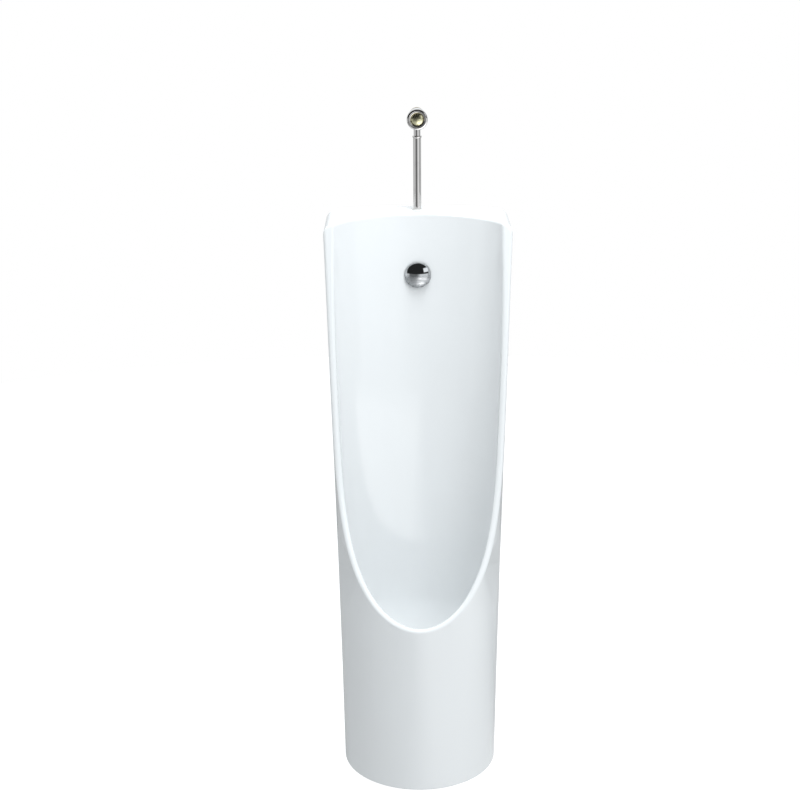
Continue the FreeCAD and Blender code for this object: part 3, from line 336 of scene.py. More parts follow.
def metal(name, bright, dull, clean_rough, film_rough, film_scale, grain=None):
    """A metal whose colour and roughness follow its film, its scratches and, if asked, a drawn grain."""
    material, tree, shader, where = new_finish(name)
    film = effect(tree, FILM, where, film_scale)
    marks = effect(tree, SCRATCHES, where, scale=700)
    tree.links.new(two_colours(tree, film, bright, dull), shader.inputs["Base Color"])
    rough = together(tree, spread(tree, film, clean_rough, film_rough), marks, share=0.08)
    if grain:
        lines = noise(tree, where, scale=600, detail=2, stretch=grain)
        rough = together(tree, rough, lines, share=0.15)
        fine_lines = noise(tree, where, scale=900, detail=2, stretch=grain)
        relief(tree, shader, fine_lines, GRAIN_DEEP, strength=0.4)
    tree.links.new(rough, shader.inputs["Roughness"])
    shader.inputs["Metallic"].default_value = 1.0
    return material


# %% Metals
CHROME_BRIGHT = (0.675, 0.65, 0.635)
CHROME_DULL = (0.61, 0.587, 0.575)
BRASS_BRIGHT = (0.74, 0.70, 0.47)
BRASS_DULL = (0.54, 0.50, 0.31)
BRASS_ROUGH_BRIGHT = (0.66, 0.50, 0.23)
BRASS_ROUGH_DULL = (0.42, 0.30, 0.14)
STEEL_BRIGHT = (0.66, 0.66, 0.65)
STEEL_DULL = (0.55, 0.55, 0.54)
GRAIN_UPRIGHT = (1.0, 1.0, 0.02)
GRAIN_LEVEL = (0.05, 1.0, 1.0)

chrome = metal("chrome_plate", CHROME_BRIGHT, CHROME_DULL,
               clean_rough=0.04, film_rough=0.10, film_scale=90)
button_brass = metal("polished_brass", BRASS_BRIGHT, BRASS_DULL,
                     clean_rough=0.16, film_rough=0.30, film_scale=220, grain=GRAIN_UPRIGHT)
plain_brass = metal("cast_brass", BRASS_ROUGH_BRIGHT, BRASS_ROUGH_DULL,
                    clean_rough=0.32, film_rough=0.5, film_scale=80)
stainless = metal("pressed_stainless", STEEL_BRIGHT, STEEL_DULL,
                  clean_rough=0.2, film_rough=0.34, film_scale=70, grain=GRAIN_LEVEL)
print("metals:", chrome.name, button_brass.name, plain_brass.name, stainless.name)

# %% Zinc plate
ZINC_LIGHT = (0.62, 0.63, 0.62)
ZINC_DARK = (0.50, 0.51, 0.52)
ZINC_GRAIN_DEEP = 0.04 * MM

zinc, tree, shader, where = new_finish("zinc_plate")
spangle = cell_colours(tree, where, scale=140)
tree.links.new(two_colours(tree, spangle, ZINC_LIGHT, ZINC_DARK), shader.inputs["Base Color"])
tree.links.new(spread(tree, spangle, low=0.32, high=0.52), shader.inputs["Roughness"])
shader.inputs["Metallic"].default_value = 1.0
relief(tree, shader, noise(tree, where, scale=700), ZINC_GRAIN_DEEP, strength=0.3)
print("finish:", zinc.name)

# %% Rubber and plastic
RUBBER_GRAIN_DEEP = 0.05 * MM
PLASTIC_SKIN_DEEP = 0.03 * MM


def rubber(name, clean, dusty):
    """Moulded rubber with a fine grain and a patchy bloom of dust."""
    material, tree, shader, where = new_finish(name)
    dust = effect(tree, FILM, where, scale=130)
    tree.links.new(two_colours(tree, dust, clean, dusty), shader.inputs["Base Color"])
    tree.links.new(spread(tree, dust, low=0.55, high=0.8), shader.inputs["Roughness"])
    relief(tree, shader, noise(tree, where, scale=1600, detail=4), RUBBER_GRAIN_DEEP, strength=0.5)
    return material


def plastic(name, plain, aged, least_rough, most_rough):
    """A moulded plastic with a faint skin texture and slow changes of colour."""
    material, tree, shader, where = new_finish(name)
    patches = noise(tree, where, scale=30, detail=4)
    tree.links.new(two_colours(tree, patches, plain, aged), shader.inputs["Base Color"])
    marks = effect(tree, SCRATCHES, where, scale=500)
    rough = together(tree, spread(tree, patches, least_rough, most_rough), marks, share=0.12)
    tree.links.new(rough, shader.inputs["Roughness"])
    relief(tree, shader, noise(tree, where, scale=1200, detail=2), PLASTIC_SKIN_DEEP, strength=0.35)
    return material


black_rubber = rubber("black_rubber", clean=(0.028, 0.028, 0.030), dusty=(0.075, 0.073, 0.07))
white_rubber = rubber("white_rubber", clean=(0.80, 0.80, 0.79), dusty=(0.70, 0.69, 0.66))
white_plastic = plastic("white_plastic", plain=(0.82, 0.82, 0.80), aged=(0.77, 0.765, 0.73),
                        least_rough=0.26, most_rough=0.40)
grey_plastic = plastic("grey_pipe", plain=(0.40, 0.41, 0.42), aged=(0.34, 0.35, 0.36),
                       least_rough=0.34, most_rough=0.50)
print("rubber:", black_rubber.name, white_rubber.name)
print("plastic:", white_plastic.name, grey_plastic.name)

# %% [markdown]
# Dressing the CAD nodes
#
# Each node names a slot in the record, and each slot gets its finish. The solids that are already right,
# such as the seals, the elbow and the waste, keep their shape and only change their material.

# %% Dress the nodes
FINISHES = {
    "glazed_china": glaze,
    "zinc_steel": zinc,
    "black_rubber": black_rubber,
    "white_rubber": white_rubber,
    "chrome_plate": chrome,
    "button_brass": button_brass,
    "plain_brass": plain_brass,
    "stainless": stainless,
    "white_plastic": white_plastic,
    "grey_plastic": grey_plastic,
}
slot_of = {row["node"]: row["material_slot"] for row in frame["record"]["subparts"]}
for name, node in nodes.items():
    node.data.materials.clear()
    node.data.materials.append(FINISHES[slot_of[name]])
print("dressed:", len(slot_of))

# %% [markdown]
# Putting a new piece in place of a solid
#
# A new piece gets a finish and takes the moving body of the CAD node it stands for. The node is
# hidden but stays in the motion model, so the new piece must lie where the node lies: every size below is
# read from the node's box, is one of the solid's own sizes, or stays inside them, as a round or a rib does.

# %% Placing helpers
body_of = {node: body for body, names in frame["record"]["behaviour"]["bodies"].items() for node in names}


def axis_of(node):
    """The middle of a node's box, which for a turned piece lies on its axis."""
    low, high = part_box(node)
    return (Vector(low) + Vector(high)) / 2


def half_width(node):
    """Half of a node's box from left to right, which for a turned piece is its radius."""
    low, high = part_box(node)
    return (high[0] - low[0]) / 2


def stand_in(piece, node, finish):
    """Finish a new piece and let it stand for a node, on the node's body."""
    piece.data.materials.clear()
    piece.data.materials.append(finish)
    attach(piece, body_of[node])
    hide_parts(node)
    print(piece.name, "stands for", node, "with", len(piece.data.polygons), "faces")


# %% [markdown]
# China, glazed and bare
#
# The glaze is sprayed on what a user can see and touch. The hollow back, the ribs and the flat edges at the
# wall and below are left bare, a matt cream china called bisque. The shape is already right, so a copy of
# the solid keeps its faces and only gets a second material. Its loose triangles are merged into one closed
# skin first. A face counts as glazed if a straight line runs from it to at least one of many eyes in front,
# beside or above.

# %% Bare china
BISQUE_PALE = (0.66, 0.63, 0.57)
BISQUE_DARK = (0.56, 0.53, 0.47)
MOULD_STRETCH = (1, 1, 0.15)
MOULD_MARKS_DEEP = 0.6 * MM
BISQUE_GRAIN_DEEP = 0.12 * MM

bisque, tree, shader, where = new_finish("bare_china")
stains = effect(tree, FILM, where, scale=120)
clouds = together(tree, noise(tree, where, scale=16, detail=5), stains, share=0.4)
tree.links.new(two_colours(tree, clouds, BISQUE_PALE, BISQUE_DARK), shader.inputs["Base Color"])
tree.links.new(spread(tree, noise(tree, where, scale=70), low=0.62, high=0.86), shader.inputs["Roughness"])
mould_lines = noise(tree, where, scale=60, stretch=MOULD_STRETCH)
mould_marks = relief(tree, shader, mould_lines, MOULD_MARKS_DEEP, strength=0.4)
relief(tree, shader, noise(tree, where, scale=1500), BISQUE_GRAIN_DEEP, strength=0.6, under=mould_marks)
print("finish:", bisque.name)

# %% Glazed and bare faces
EYE_RISES = (-0.5, 0.1, 0.9, 2.2)
EYE_SIDES = (-3.0, -1.0, 0.0, 1.0, 3.0)
EYE_FRONT = -1.8
BESIDE_SIDES = (-2.5, 2.5)
BESIDE_FRONT = -0.2
ABOVE = ((0, -0.45, 2.5), (0, -0.2, 3.0))
SKIN = 0.2 * MM

eyes = [Vector((side, EYE_FRONT, height)) for side in EYE_SIDES for height in EYE_RISES]
eyes += [Vector((side, BESIDE_FRONT, height)) for side in BESIDE_SIDES for height in EYE_RISES]
eyes += [Vector(place) for place in ABOVE]
china = bpy.data.objects.new("urinal_china", nodes["ceramic_body"].data.copy())
bpy.context.scene.collection.objects.link(china)
merge_points(china, keep_shading=True)
mesh = china.data
tree_of_faces = BVHTree.FromPolygons([v.co for v in mesh.vertices], [p.vertices for p in mesh.polygons])


def seen(face):
    """Whether some eye sees the middle of a face."""
    start = face.center + face.normal * SKIN
    for eye in eyes:
        way = eye - start
        in_front = face.normal.dot(way) > 0
        if in_front and tree_of_faces.ray_cast(start, way.normalized(), way.length)[0] is None:
            return True
    return False


stand_in(china, "ceramic_body", glaze)
mesh.materials.append(bisque)
bare = 0
for face in mesh.polygons:
    face.material_index = 0 if seen(face) else 1
    bare += face.material_index
print("bare faces:", bare)

# %% [markdown]
# Turned fittings
#
# Chrome shows every facet, so the fittings that a user sees are turned afresh, finer than the solids. A
# lathe makes them from one outline, and Spin does the same. The outline is drawn as by hand, one vertex
# extruded from corner to corner; a vertex bevel rounds its sharp corners; then it is spun about the axis.
# A cylinder with extruded and scaled ends would do too, but its corners are harder to round evenly.

# %% Drawing an outline
ROUND_STEPS = 5
BALL_STEPS = 16


def pick(piece, kind, test):
    """In edit mode, select only the vertices, edges or faces that pass a test."""
    bpy.ops.mesh.select_mode(type=kind)
    bpy.ops.mesh.select_all(action="DESELECT")
    bpy.ops.object.mode_set(mode="OBJECT")
    items = {"VERT": piece.data.vertices, "EDGE": piece.data.edges, "FACE": piece.data.polygons}[kind]
    for item in items:
        item.select = test(item)
    bpy.ops.object.mode_set(mode="EDIT")


def on_ball(start, end):
    """Corners along a ball that is centred on the axis, from one corner to another."""
    (start_radius, start_along), (end_radius, end_along) = start, end
    rise = end_along - start_along
    middle = (end_radius ** 2 - start_radius ** 2 + end_along ** 2 - start_along ** 2) / (2 * rise)
    reach = math.hypot(start_radius, start_along - middle)
    first = math.atan2(start_radius, start_along - middle)
    last = math.atan2(end_radius, end_along - middle)
    angles = [first + (last - first) * step / BALL_STEPS for step in range(1, BALL_STEPS + 1)]
    return [(reach * math.sin(angle), middle + reach * math.cos(angle)) for angle in angles]


def draw_outline(name, spots):
    """One vertex, extruded from spot to spot; leaves edit mode on."""
    start_fresh()
    bpy.ops.mesh.primitive_plane_add(size=MM, location=spots[0])
    piece = bpy.context.object
    piece.name = name
    bpy.ops.object.transform_apply()
    bpy.ops.object.mode_set(mode="EDIT")
    bpy.ops.mesh.select_mode(type="VERT")
    bpy.ops.mesh.select_all(action="SELECT")
    bpy.ops.mesh.merge(type="CENTER")
    for here, there in zip(spots, spots[1:]):
        bpy.ops.mesh.extrude_region_move(TRANSFORM_OT_translate={"value": there - here})
    bpy.ops.mesh.select_all(action="SELECT")
    bpy.ops.mesh.remove_doubles(threshold=WELD)
    return piece


def round_off(piece, spot, radius):
    """Round one corner of a drawn outline."""
    pick(piece, "VERT", lambda vertex: (vertex.co - spot).length < WELD)
    bpy.ops.mesh.bevel(offset=radius, segments=ROUND_STEPS, affect="VERTICES")


# %% Lathe
FINE_SIDES = 128
SMOOTH_ANGLE = math.radians(32)


def smooth(piece):
    """Smooth shading, except over sharp edges."""
    make_active(piece)
    bpy.ops.object.shade_smooth_by_angle(angle=SMOOTH_ANGLE)


def turned(name, centre, level, corners):
    """A piece turned about a level or an upright axis.

    A corner is (radius, place along the axis), with a rounding radius or the word ball after it; ball means
    that the outline runs to this corner on a ball. An outline that starts off the axis is closed.
    """

    def spot(radius, along):
        out = centre.x + radius
        return Vector((out, along, centre.z) if level else (out, centre.y, along))

    drawn = []
    for radius, along, *how in corners:
        drawn += on_ball(drawn[-1], (radius, along)) if how == ["ball"] else [(radius, along)]
    if drawn[0][0] > 0:
        drawn.append(drawn[0])
    piece = draw_outline(name, [spot(*corner) for corner in drawn])
    for radius, along, *how in corners:
        if how and how != ["ball"]:
            round_off(piece, spot(radius, along), how[0])
    bpy.ops.mesh.select_all(action="SELECT")
    axis = (0, 1, 0) if level else (0, 0, 1)
    bpy.ops.mesh.spin(steps=FINE_SIDES, angle=2 * math.pi, center=centre, axis=axis)
    bpy.ops.mesh.select_all(action="SELECT")
    bpy.ops.mesh.remove_doubles(threshold=WELD)
    bpy.ops.mesh.normals_make_consistent(inside=False)
    bpy.ops.object.mode_set(mode="OBJECT")
    smooth(piece)
    return piece


# %% [markdown]
# The valve's chrome ring and its button
#
# The face of the flush valve is a chrome ring with a raised outer edge. A domed brass button sits in its
# mouth with a hair's gap all round, and slides straight in. Both are plain lathe work.

# %% Valve ring
RING_MOUTH = 11 * MM
RING_TAIL = 13 * MM
RING_TAIL_LONG = 4 * MM
RING_EDGE = 3.4 * MM
RING_STEP = 1.4 * MM
RING_ROUND = 3.2 * MM
FINE_ROUND = 0.3 * MM

low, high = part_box("front_bezel")
front, back = low[1], high[1]
rim = half_width("front_bezel")
ring = turned("valve_ring", axis_of("front_bezel"), level=True, corners=[
    (RING_MOUTH, back),
    (RING_TAIL, back, FINE_ROUND),
    (RING_TAIL, back - RING_TAIL_LONG),
    (rim, back - RING_TAIL_LONG, FINE_ROUND),
    (rim, front, RING_ROUND),
    (rim - RING_EDGE, front, FINE_ROUND),
    (rim - RING_EDGE, front + RING_STEP, FINE_ROUND),
    (RING_MOUTH + RING_STEP, front + RING_STEP, FINE_ROUND),
    (RING_MOUTH, front + 2 * RING_STEP, FINE_ROUND),
])
stand_in(ring, "front_bezel", chrome)

# %% Button
BUTTON_CROWN = 3 * MM
BUTTON_FACE = 3.5 * MM
BUTTON_WALL = 1.3 * MM

low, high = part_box("push_button")
front, back = low[1], high[1]
rim = half_width("push_button")
button = turned("button_cap", axis_of("push_button"), level=True, corners=[
    (0, front + BUTTON_FACE),
    (rim - BUTTON_WALL, front + BUTTON_FACE),
    (rim - BUTTON_WALL, back),
    (rim, back, FINE_ROUND),
    (rim, front + BUTTON_CROWN, FINE_ROUND),
    (0, front, "ball"),
])
stand_in(button, "push_button", button_brass)

# %% [markdown]
# The valve body and the flush tube
#
# Behind the ring the valve is a chromed barrel with a narrower neck at the wall. A spigot leaves it
# downwards and goes into the collar of the tube that carries the water. Barrel and spigot are one casting,
# so they are turned one by one and welded by a Boolean union.

# %% Boolean helper


def carve(piece, tool, operation):
    """Join, cut or clip a piece with a tool piece, which is used up, and merge the points it doubles."""
    make_active(piece)
    modifier = piece.modifiers.new("carve", "BOOLEAN")
    modifier.operation = operation
    modifier.object = tool
    bpy.ops.object.modifier_apply(modifier=modifier.name)
    bpy.data.objects.remove(tool)
    merge_points(piece)
    smooth(piece)


# %% Valve body
NECK = 12.5 * MM
NECK_ROUND = 0.9 * MM
SHOULDER = 17 * MM
THREAD_HOLE = 10.53 * MM
REAR_BORE = 9.5 * MM
FRONT_BORE = 12.05 * MM
BONNET_BORE = 13.05 * MM
NIPPLE_LONG = 6.5 * MM
SEAT_BACK = 20 * MM
BONNET_LONG = 10 * MM
SPIGOT = 5.95 * MM
SPIGOT_BORE = 4 * MM
SPIGOT_TOP = 12.6 * MM

low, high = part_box("valve_body")
front, back = low[1], high[1]
valve_axis = axis_of("front_bezel")
barrel = half_width("valve_body")
casting = turned("valve_casting", valve_axis, level=True, corners=[
    (THREAD_HOLE, back),
    (NECK, back, NECK_ROUND),
    (NECK, back - SHOULDER),
    (barrel, back - SHOULDER, barrel - NECK - FINE_ROUND),
    (barrel, front, FINE_ROUND),
    (BONNET_BORE, front),
    (BONNET_BORE, front + BONNET_LONG),
    (FRONT_BORE, front + BONNET_LONG),
    (FRONT_BORE, back - SEAT_BACK),
    (REAR_BORE, back - SEAT_BACK),
    (REAR_BORE, back - NIPPLE_LONG),
    (THREAD_HOLE, back - NIPPLE_LONG),
])
spigot = turned("valve_spigot", axis_of("flush_pipe"), level=False, corners=[
    (SPIGOT_BORE, low[2]),
    (SPIGOT, low[2], FINE_ROUND),
    (SPIGOT, valve_axis.z - SPIGOT_TOP),
    (SPIGOT_BORE, valve_axis.z - SPIGOT_TOP),
])
carve(casting, spigot, "UNION")
stand_in(casting, "valve_body", chrome)

# %% Flush tube
TUBE_OUTSIDE = 7 * MM
TUBE_BORE = 6 * MM
COLLAR_TALL = 2.4 * MM
COLLAR_SLOPE = 1.2 * MM
COLLAR_ROUND = 0.6 * MM

low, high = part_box("flush_pipe")
foot, head = low[2], high[2]
collar = half_width("flush_pipe")
tube = turned("flush_tube", axis_of("flush_pipe"), level=False, corners=[
    (TUBE_BORE, foot),
    (TUBE_OUTSIDE, foot, FINE_ROUND),
    (TUBE_OUTSIDE, head - COLLAR_TALL - COLLAR_SLOPE),
    (collar, head - COLLAR_TALL, COLLAR_ROUND),
    (collar, head, COLLAR_ROUND),
    (TUBE_BORE, head, FINE_ROUND),
])
stand_in(tube, "flush_pipe", chrome)

# %% [markdown]
# The water spreader's dome
#
# A chromed cap high on the back wall of the bowl hides the water outlet. The water leaves through a row of
# small jets under its lower edge and runs down the china as a fan. The cap is a turned shell, and the jets
# are drilled by a Boolean with five thin rods that fan out from the middle. Its lower half is painted
# darker in streaks, as painted shade, and is rougher there; the chrome above is clear.

# %% Cutting tools


def rod(radius, long, middle, turn, sides):
    """A plain rod to cut with."""
    start_fresh()
    bpy.ops.mesh.primitive_cylinder_add(vertices=sides, radius=radius, depth=long, location=middle,
                                        rotation=turn)
    bpy.ops.object.transform_apply()
    return bpy.context.object


def joined(pieces):
    """Several pieces as one object, under the first one's name."""
    start_fresh()
    for piece in pieces:
        piece.select_set(True)
    bpy.context.view_layer.objects.active = pieces[0]
    bpy.ops.object.join()
    return pieces[0]


# %% Spreader dome
DOME_WALL = 1.5 * MM
DOME_SKIRT = 5 * MM
DOME_ROUND = 1.2 * MM
JET_RADIUS = 1.3 * MM
JET_LONG = 45 * MM
JET_SIDES = 24
JET_FORWARD = 5.8 * MM
JET_FAN = (-50, -25, 0, 25, 50)

low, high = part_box("spreader_dome")
front, back = low[1], high[1]
rim = half_width("spreader_dome")
dome_axis = axis_of("spreader_dome")
dome = turned("spreader_cap", dome_axis, level=True, corners=[
    (rim - DOME_WALL, back),
    (rim, back, FINE_ROUND),
    (rim, back - DOME_SKIRT, DOME_ROUND),
    (0, front, "ball"),
    (0, front + DOME_WALL),
    (rim - DOME_WALL, back - DOME_SKIRT, "ball"),
])
rods = []
for fan in JET_FAN:
    slant = math.radians(fan)
    way = Vector((math.sin(slant), 0, -math.cos(slant)))
    root = Vector((dome_axis.x, back - JET_FORWARD, dome_axis.z))
    rods.append(rod(JET_RADIUS, JET_LONG, root + way * JET_LONG / 2, (0, math.pi - slant, 0), JET_SIDES))
carve(dome, joined(rods), "DIFFERENCE")
print("jets drilled:", len(rods))

# %% Chrome with painted shade below
DOME_CHROME = (0.58, 0.59, 0.60)
PAINTED_SHADE_GREY = (0.36, 0.37, 0.38)
SHADE_STREAK_STRETCH = (0.15, 1, 1)
PAINTED_SHADE_EDGE = 2.5 * MM
STREAK_BUMP_DEEP = 0.05 * MM

chrome_with_painted_shade, tree, shader, where = new_finish("chrome_with_painted_shade")
split = tree.nodes.new("ShaderNodeSeparateXYZ")
tree.links.new(where, split.inputs["Vector"])
# Painted shade: the cap's colour goes darker below its middle, in streaks, and it is rougher there too
painted_shade_below = spread(tree, split.outputs["Z"], 1, 0, dome_axis.z - PAINTED_SHADE_EDGE, dome_axis.z + PAINTED_SHADE_EDGE)
runs = noise(tree, where, scale=420, stretch=SHADE_STREAK_STRETCH)
streaks = spread(tree, runs, low=0.35, high=1.0, from_low=0.3, from_high=0.6)
painted_shade_streaks = arithmetic(tree, "MULTIPLY", painted_shade_below, streaks)
tree.links.new(two_colours(tree, painted_shade_streaks, DOME_CHROME, PAINTED_SHADE_GREY), shader.inputs["Base Color"])
tree.links.new(spread(tree, painted_shade_streaks, low=0.05, high=0.42), shader.inputs["Roughness"])
shader.inputs["Metallic"].default_value = 1.0
relief(tree, shader, painted_shade_streaks, STREAK_BUMP_DEEP, strength=0.3)
stand_in(dome, "spreader_dome", chrome_with_painted_shade)

# %% [markdown]
# Hand-tight plastic nuts
#
# The trap is put together by hand, so its nuts and the cup at its bottom carry grip ribs. Each is turned
# first, with four strips to a rib. Then every other pair of strips on the outer wall is selected and
# extruded outwards, which leaves the ribs standing between straight-sided grooves.

# %% Grip ribs
RIB_STRIPS = 4
RIB_RISE = 0.9 * MM
NUT_ROUND = 1.0 * MM
WALL_LEAN = 0.1
WALL_SLACK = 0.1 * MM


def grip_ribs(piece, centre, level, wall):
    """Raise a rib on every other pair of strips of the outer wall."""
    axis, across = (1, 2) if level else (2, 1)

    def on_rib(face):
        out = face.center - centre
        out[axis] = 0
        turn = math.atan2(out[across], out[0]) % (2 * math.pi)
        strip = int(turn / (2 * math.pi) * FINE_SIDES)
        on_wall = abs(face.normal[axis]) < WALL_LEAN and out.length > wall - WALL_SLACK
        return on_wall and strip % RIB_STRIPS < RIB_STRIPS / 2

    make_active(piece)
    bpy.ops.object.mode_set(mode="EDIT")
    pick(piece, "FACE", on_rib)
    bpy.ops.mesh.extrude_region_shrink_fatten(TRANSFORM_OT_shrink_fatten={"value": RIB_RISE})
    bpy.ops.object.mode_set(mode="OBJECT")
    smooth(piece)


# %% Trap nuts
INLET_NUT_BOSS = 26.05 * MM
INLET_NUT_HOLE = 21.2 * MM
INLET_NUT_WEB = 9.9 * MM
OUTLET_NUT_BOSS = 24.05 * MM
OUTLET_NUT_HOLE = 20.25 * MM
OUTLET_NUT_WEB = 10 * MM

low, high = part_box("trap_inlet_nut")
foot, head = low[2], high[2]
wall = half_width("trap_inlet_nut") - RIB_RISE
inlet_nut = turned("trap_grip_nut", axis_of("trap_inlet_nut"), level=False, corners=[
    (INLET_NUT_BOSS, foot),
    (wall, foot, NUT_ROUND),
    (wall, head, NUT_ROUND),
    (INLET_NUT_HOLE, head, FINE_ROUND),
    (INLET_NUT_HOLE, head - INLET_NUT_WEB),
    (INLET_NUT_BOSS, head - INLET_NUT_WEB),
])
grip_ribs(inlet_nut, axis_of("trap_inlet_nut"), level=False, wall=wall)
stand_in(inlet_nut, "trap_inlet_nut", white_plastic)

low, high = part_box("outlet_nut")
front, back = low[1], high[1]
wall = half_width("outlet_nut") - RIB_RISE
outlet_nut = turned("outlet_grip_nut", axis_of("outlet_nut"), level=True, corners=[
    (OUTLET_NUT_HOLE, back, FINE_ROUND),
    (wall, back, NUT_ROUND),
    (wall, front, NUT_ROUND),
    (OUTLET_NUT_BOSS, front),
    (OUTLET_NUT_BOSS, back - OUTLET_NUT_WEB),
    (OUTLET_NUT_HOLE, back - OUTLET_NUT_WEB),
])
grip_ribs(outlet_nut, axis_of("outlet_nut"), level=True, wall=wall)
stand_in(outlet_nut, "outlet_nut", white_plastic)

# %% Trap cup
CUP_THREAD = 35.05 * MM
CUP_HOLLOW = 31.5 * MM
CUP_WALL = 3 * MM
CUP_CHAMFER = 5 * MM
CUP_STEP = 19.1 * MM

low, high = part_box("trap_cup")
foot, head = low[2], high[2]
wall = half_width("trap_cup") - RIB_RISE
cup = turned("trap_grip_cup", axis_of("trap_cup"), level=False, corners=[
    (0, foot),
    (wall - CUP_CHAMFER, foot, NUT_ROUND),
    (wall, foot + CUP_CHAMFER, NUT_ROUND),
    (wall, head, NUT_ROUND),
    (CUP_THREAD, head),
    (CUP_THREAD, head - CUP_STEP),
    (CUP_HOLLOW, head - CUP_STEP),
    (CUP_HOLLOW, foot + CUP_WALL, NUT_ROUND),
    (0, foot + CUP_WALL),
])
grip_ribs(cup, axis_of("trap_cup"), level=False, wall=wall)
stand_in(cup, "trap_cup", white_plastic)

# %% [markdown]
# Back nuts
#
# A flat-sided nut is cut from bar and then faced on a lathe, which leaves a curved chamfer where each
# corner meets the face. The same two steps make it here: a turned blank with sloping edges, clipped to a
# prism by a Boolean intersection.

# %% Back nuts
CHAMFER_SLOPE = 0.45
WASTE_NUT_HOLE = 21.0 * MM


def flat_sided_nut(name, node, level, flats, prism_turn, hole, finish):
    """A nut with a number of flats and turned chamfers, in place of a node."""
    low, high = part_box(node)
    centre = axis_of(node)
    start, end = (low[1], high[1]) if level else (low[2], high[2])
    across_flats = (high[2] - low[2]) / 2 if level else half_width(node) * math.cos(math.pi / flats)
    corner = across_flats / math.cos(math.pi / flats)
    chamfer = (corner - across_flats) * CHAMFER_SLOPE
    blank = turned(name, centre, level, [
        (hole, start, FINE_ROUND),
        (across_flats, start),
        (corner, start + chamfer),
        (corner, end - chamfer),
        (across_flats, end),
        (hole, end, FINE_ROUND),
    ])
    prism = rod(corner, 2 * (end - start), centre, prism_turn, flats)
    carve(blank, prism, "INTERSECT")
    stand_in(blank, node, finish)


flat_sided_nut("spreader_hex_nut", "spreader_back_nut", level=True, flats=6,
               prism_turn=(math.pi / 2, math.pi / 6, 0), hole=THREAD_HOLE, finish=plain_brass)
flat_sided_nut("waste_flat_nut", "waste_back_nut", level=False, flats=8,
               prism_turn=(0, 0, 0), hole=WASTE_NUT_HOLE, finish=white_plastic)

# %% [markdown]
# The threaded inlet
#
# The valve screws into the wall with a half-inch pipe thread, 14 turns to the inch. The solid shows it as
# a plain cylinder; here the core is turned and the thread is a small triangle that a Screw modifier winds
# round it, its foot sunk in the core. A bump would look flat from the side, and this end is seen from
# behind.

# %% Winding helper
COIL_STEPS = 64


def wound(name, sides, thick, radius, pitch, turns, centre, start):
    """A ring of some sides wound round a level axis, from a depth on towards the wall, with closed ends."""
    start_fresh()
    bpy.ops.mesh.primitive_circle_add(vertices=sides, radius=thick, location=(radius, 0, 0),
                                      rotation=(math.pi / 2, math.pi / 2, 0))
    bpy.ops.object.transform_apply()
    coil = bpy.context.object
    coil.name = name
    winding = coil.modifiers.new("winding", "SCREW")
    winding.axis = "Z"
    winding.screw_offset = pitch
    winding.iterations = turns
    winding.steps = COIL_STEPS
    winding.render_steps = COIL_STEPS
    bpy.ops.object.modifier_apply(modifier=winding.name)
    bpy.ops.object.mode_set(mode="EDIT")
    bpy.ops.mesh.select_all(action="SELECT")
    bpy.ops.mesh.fill_holes(sides=sides)
    bpy.ops.mesh.normals_make_consistent(inside=False)
    bpy.ops.object.mode_set(mode="OBJECT")
    coil.rotation_euler = (-math.pi / 2, 0, 0)
    coil.location = (centre.x, start, centre.z)
    bpy.ops.object.transform_apply()
    return coil


# %% Inlet thread
THREAD_PITCH = 1.814 * MM
THREAD_CREST = 10.47 * MM
THREAD_TOOTH = 0.8 * MM
TOOTH_ABOVE_CORE = 1.12 * MM
INLET_BORE = 6.5 * MM
INLET_COLLAR_BACK = -0.5 * MM
INLET_COLLAR_FRONT = -2.95 * MM

low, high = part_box("inlet_nipple")
front, back = low[1], high[1]
nipple_axis = axis_of("inlet_nipple")
collar = half_width("inlet_nipple")
core = THREAD_CREST - TOOTH_ABOVE_CORE
nipple = turned("inlet_threaded_nipple", nipple_axis, level=True, corners=[
    (INLET_BORE, back, FINE_ROUND),
    (core, back, FINE_ROUND),
    (core, INLET_COLLAR_BACK),
    (collar, INLET_COLLAR_BACK, FINE_ROUND),
    (collar, INLET_COLLAR_FRONT, FINE_ROUND),
    (THREAD_CREST, INLET_COLLAR_FRONT),
    (THREAD_CREST, front),
    (INLET_BORE, front),
])
thread_turns = int((back - INLET_COLLAR_BACK) / THREAD_PITCH) - 1
thread = wound("thread", sides=3, thick=THREAD_TOOTH, radius=THREAD_CREST - THREAD_TOOTH,
               pitch=THREAD_PITCH, turns=thread_turns, centre=nipple_axis,
               start=INLET_COLLAR_BACK + THREAD_PITCH)
nipple = joined([nipple, thread])
smooth(nipple)
stand_in(nipple, "inlet_nipple", plain_brass)

# %% [markdown]
# The return spring
#
# A coil of stainless wire behind the button pushes it out again. The same winding makes it, with a round
# ring for the wire.

# %% Return spring
WIRE_RADIUS = 0.45 * MM
WIRE_SIDES = 16
SPRING_TURNS = 4

low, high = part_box("return_spring")
front, back = low[1], high[1]
spring_axis = axis_of("return_spring")
coil_radius = half_width("return_spring") - WIRE_RADIUS
pitch = (back - front - 2 * WIRE_RADIUS) / SPRING_TURNS
spring = wound("coil_spring", sides=WIRE_SIDES, thick=WIRE_RADIUS, radius=coil_radius, pitch=pitch,
               turns=SPRING_TURNS, centre=spring_axis, start=front + WIRE_RADIUS)
smooth(spring)
stand_in(spring, "return_spring", stainless)
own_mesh(spring)

# %% [markdown]
# Wall hangers
#
# Two hangers carry the china: plates of zinc-plated steel with a tongue that is bent up into a hook. A press
# can't make a sharp bend, so the side view is drawn with a larger round outside the bend than inside it,
# filled and extruded to the plate's width. Two screw holes are cut, and a Bevel modifier breaks the edges.

# %% Hangers
PLATE = 3 * MM
HOOK_TONGUE = 21 * MM
BEND_INSIDE = 1.5 * MM
BEND_OUTSIDE = 4 * MM
SCREW_RADIUS = 3.5 * MM
SCREW_SPACING = 30 * MM
SCREW_SIDES = 48
BROKEN_EDGE = 0.35 * MM
STRIP_CORNER = 0.8 * MM
SCREW_TOOL_LONG = 18 * MM
EDGE_STEPS = 2
EDGE_ANGLE = math.radians(50)


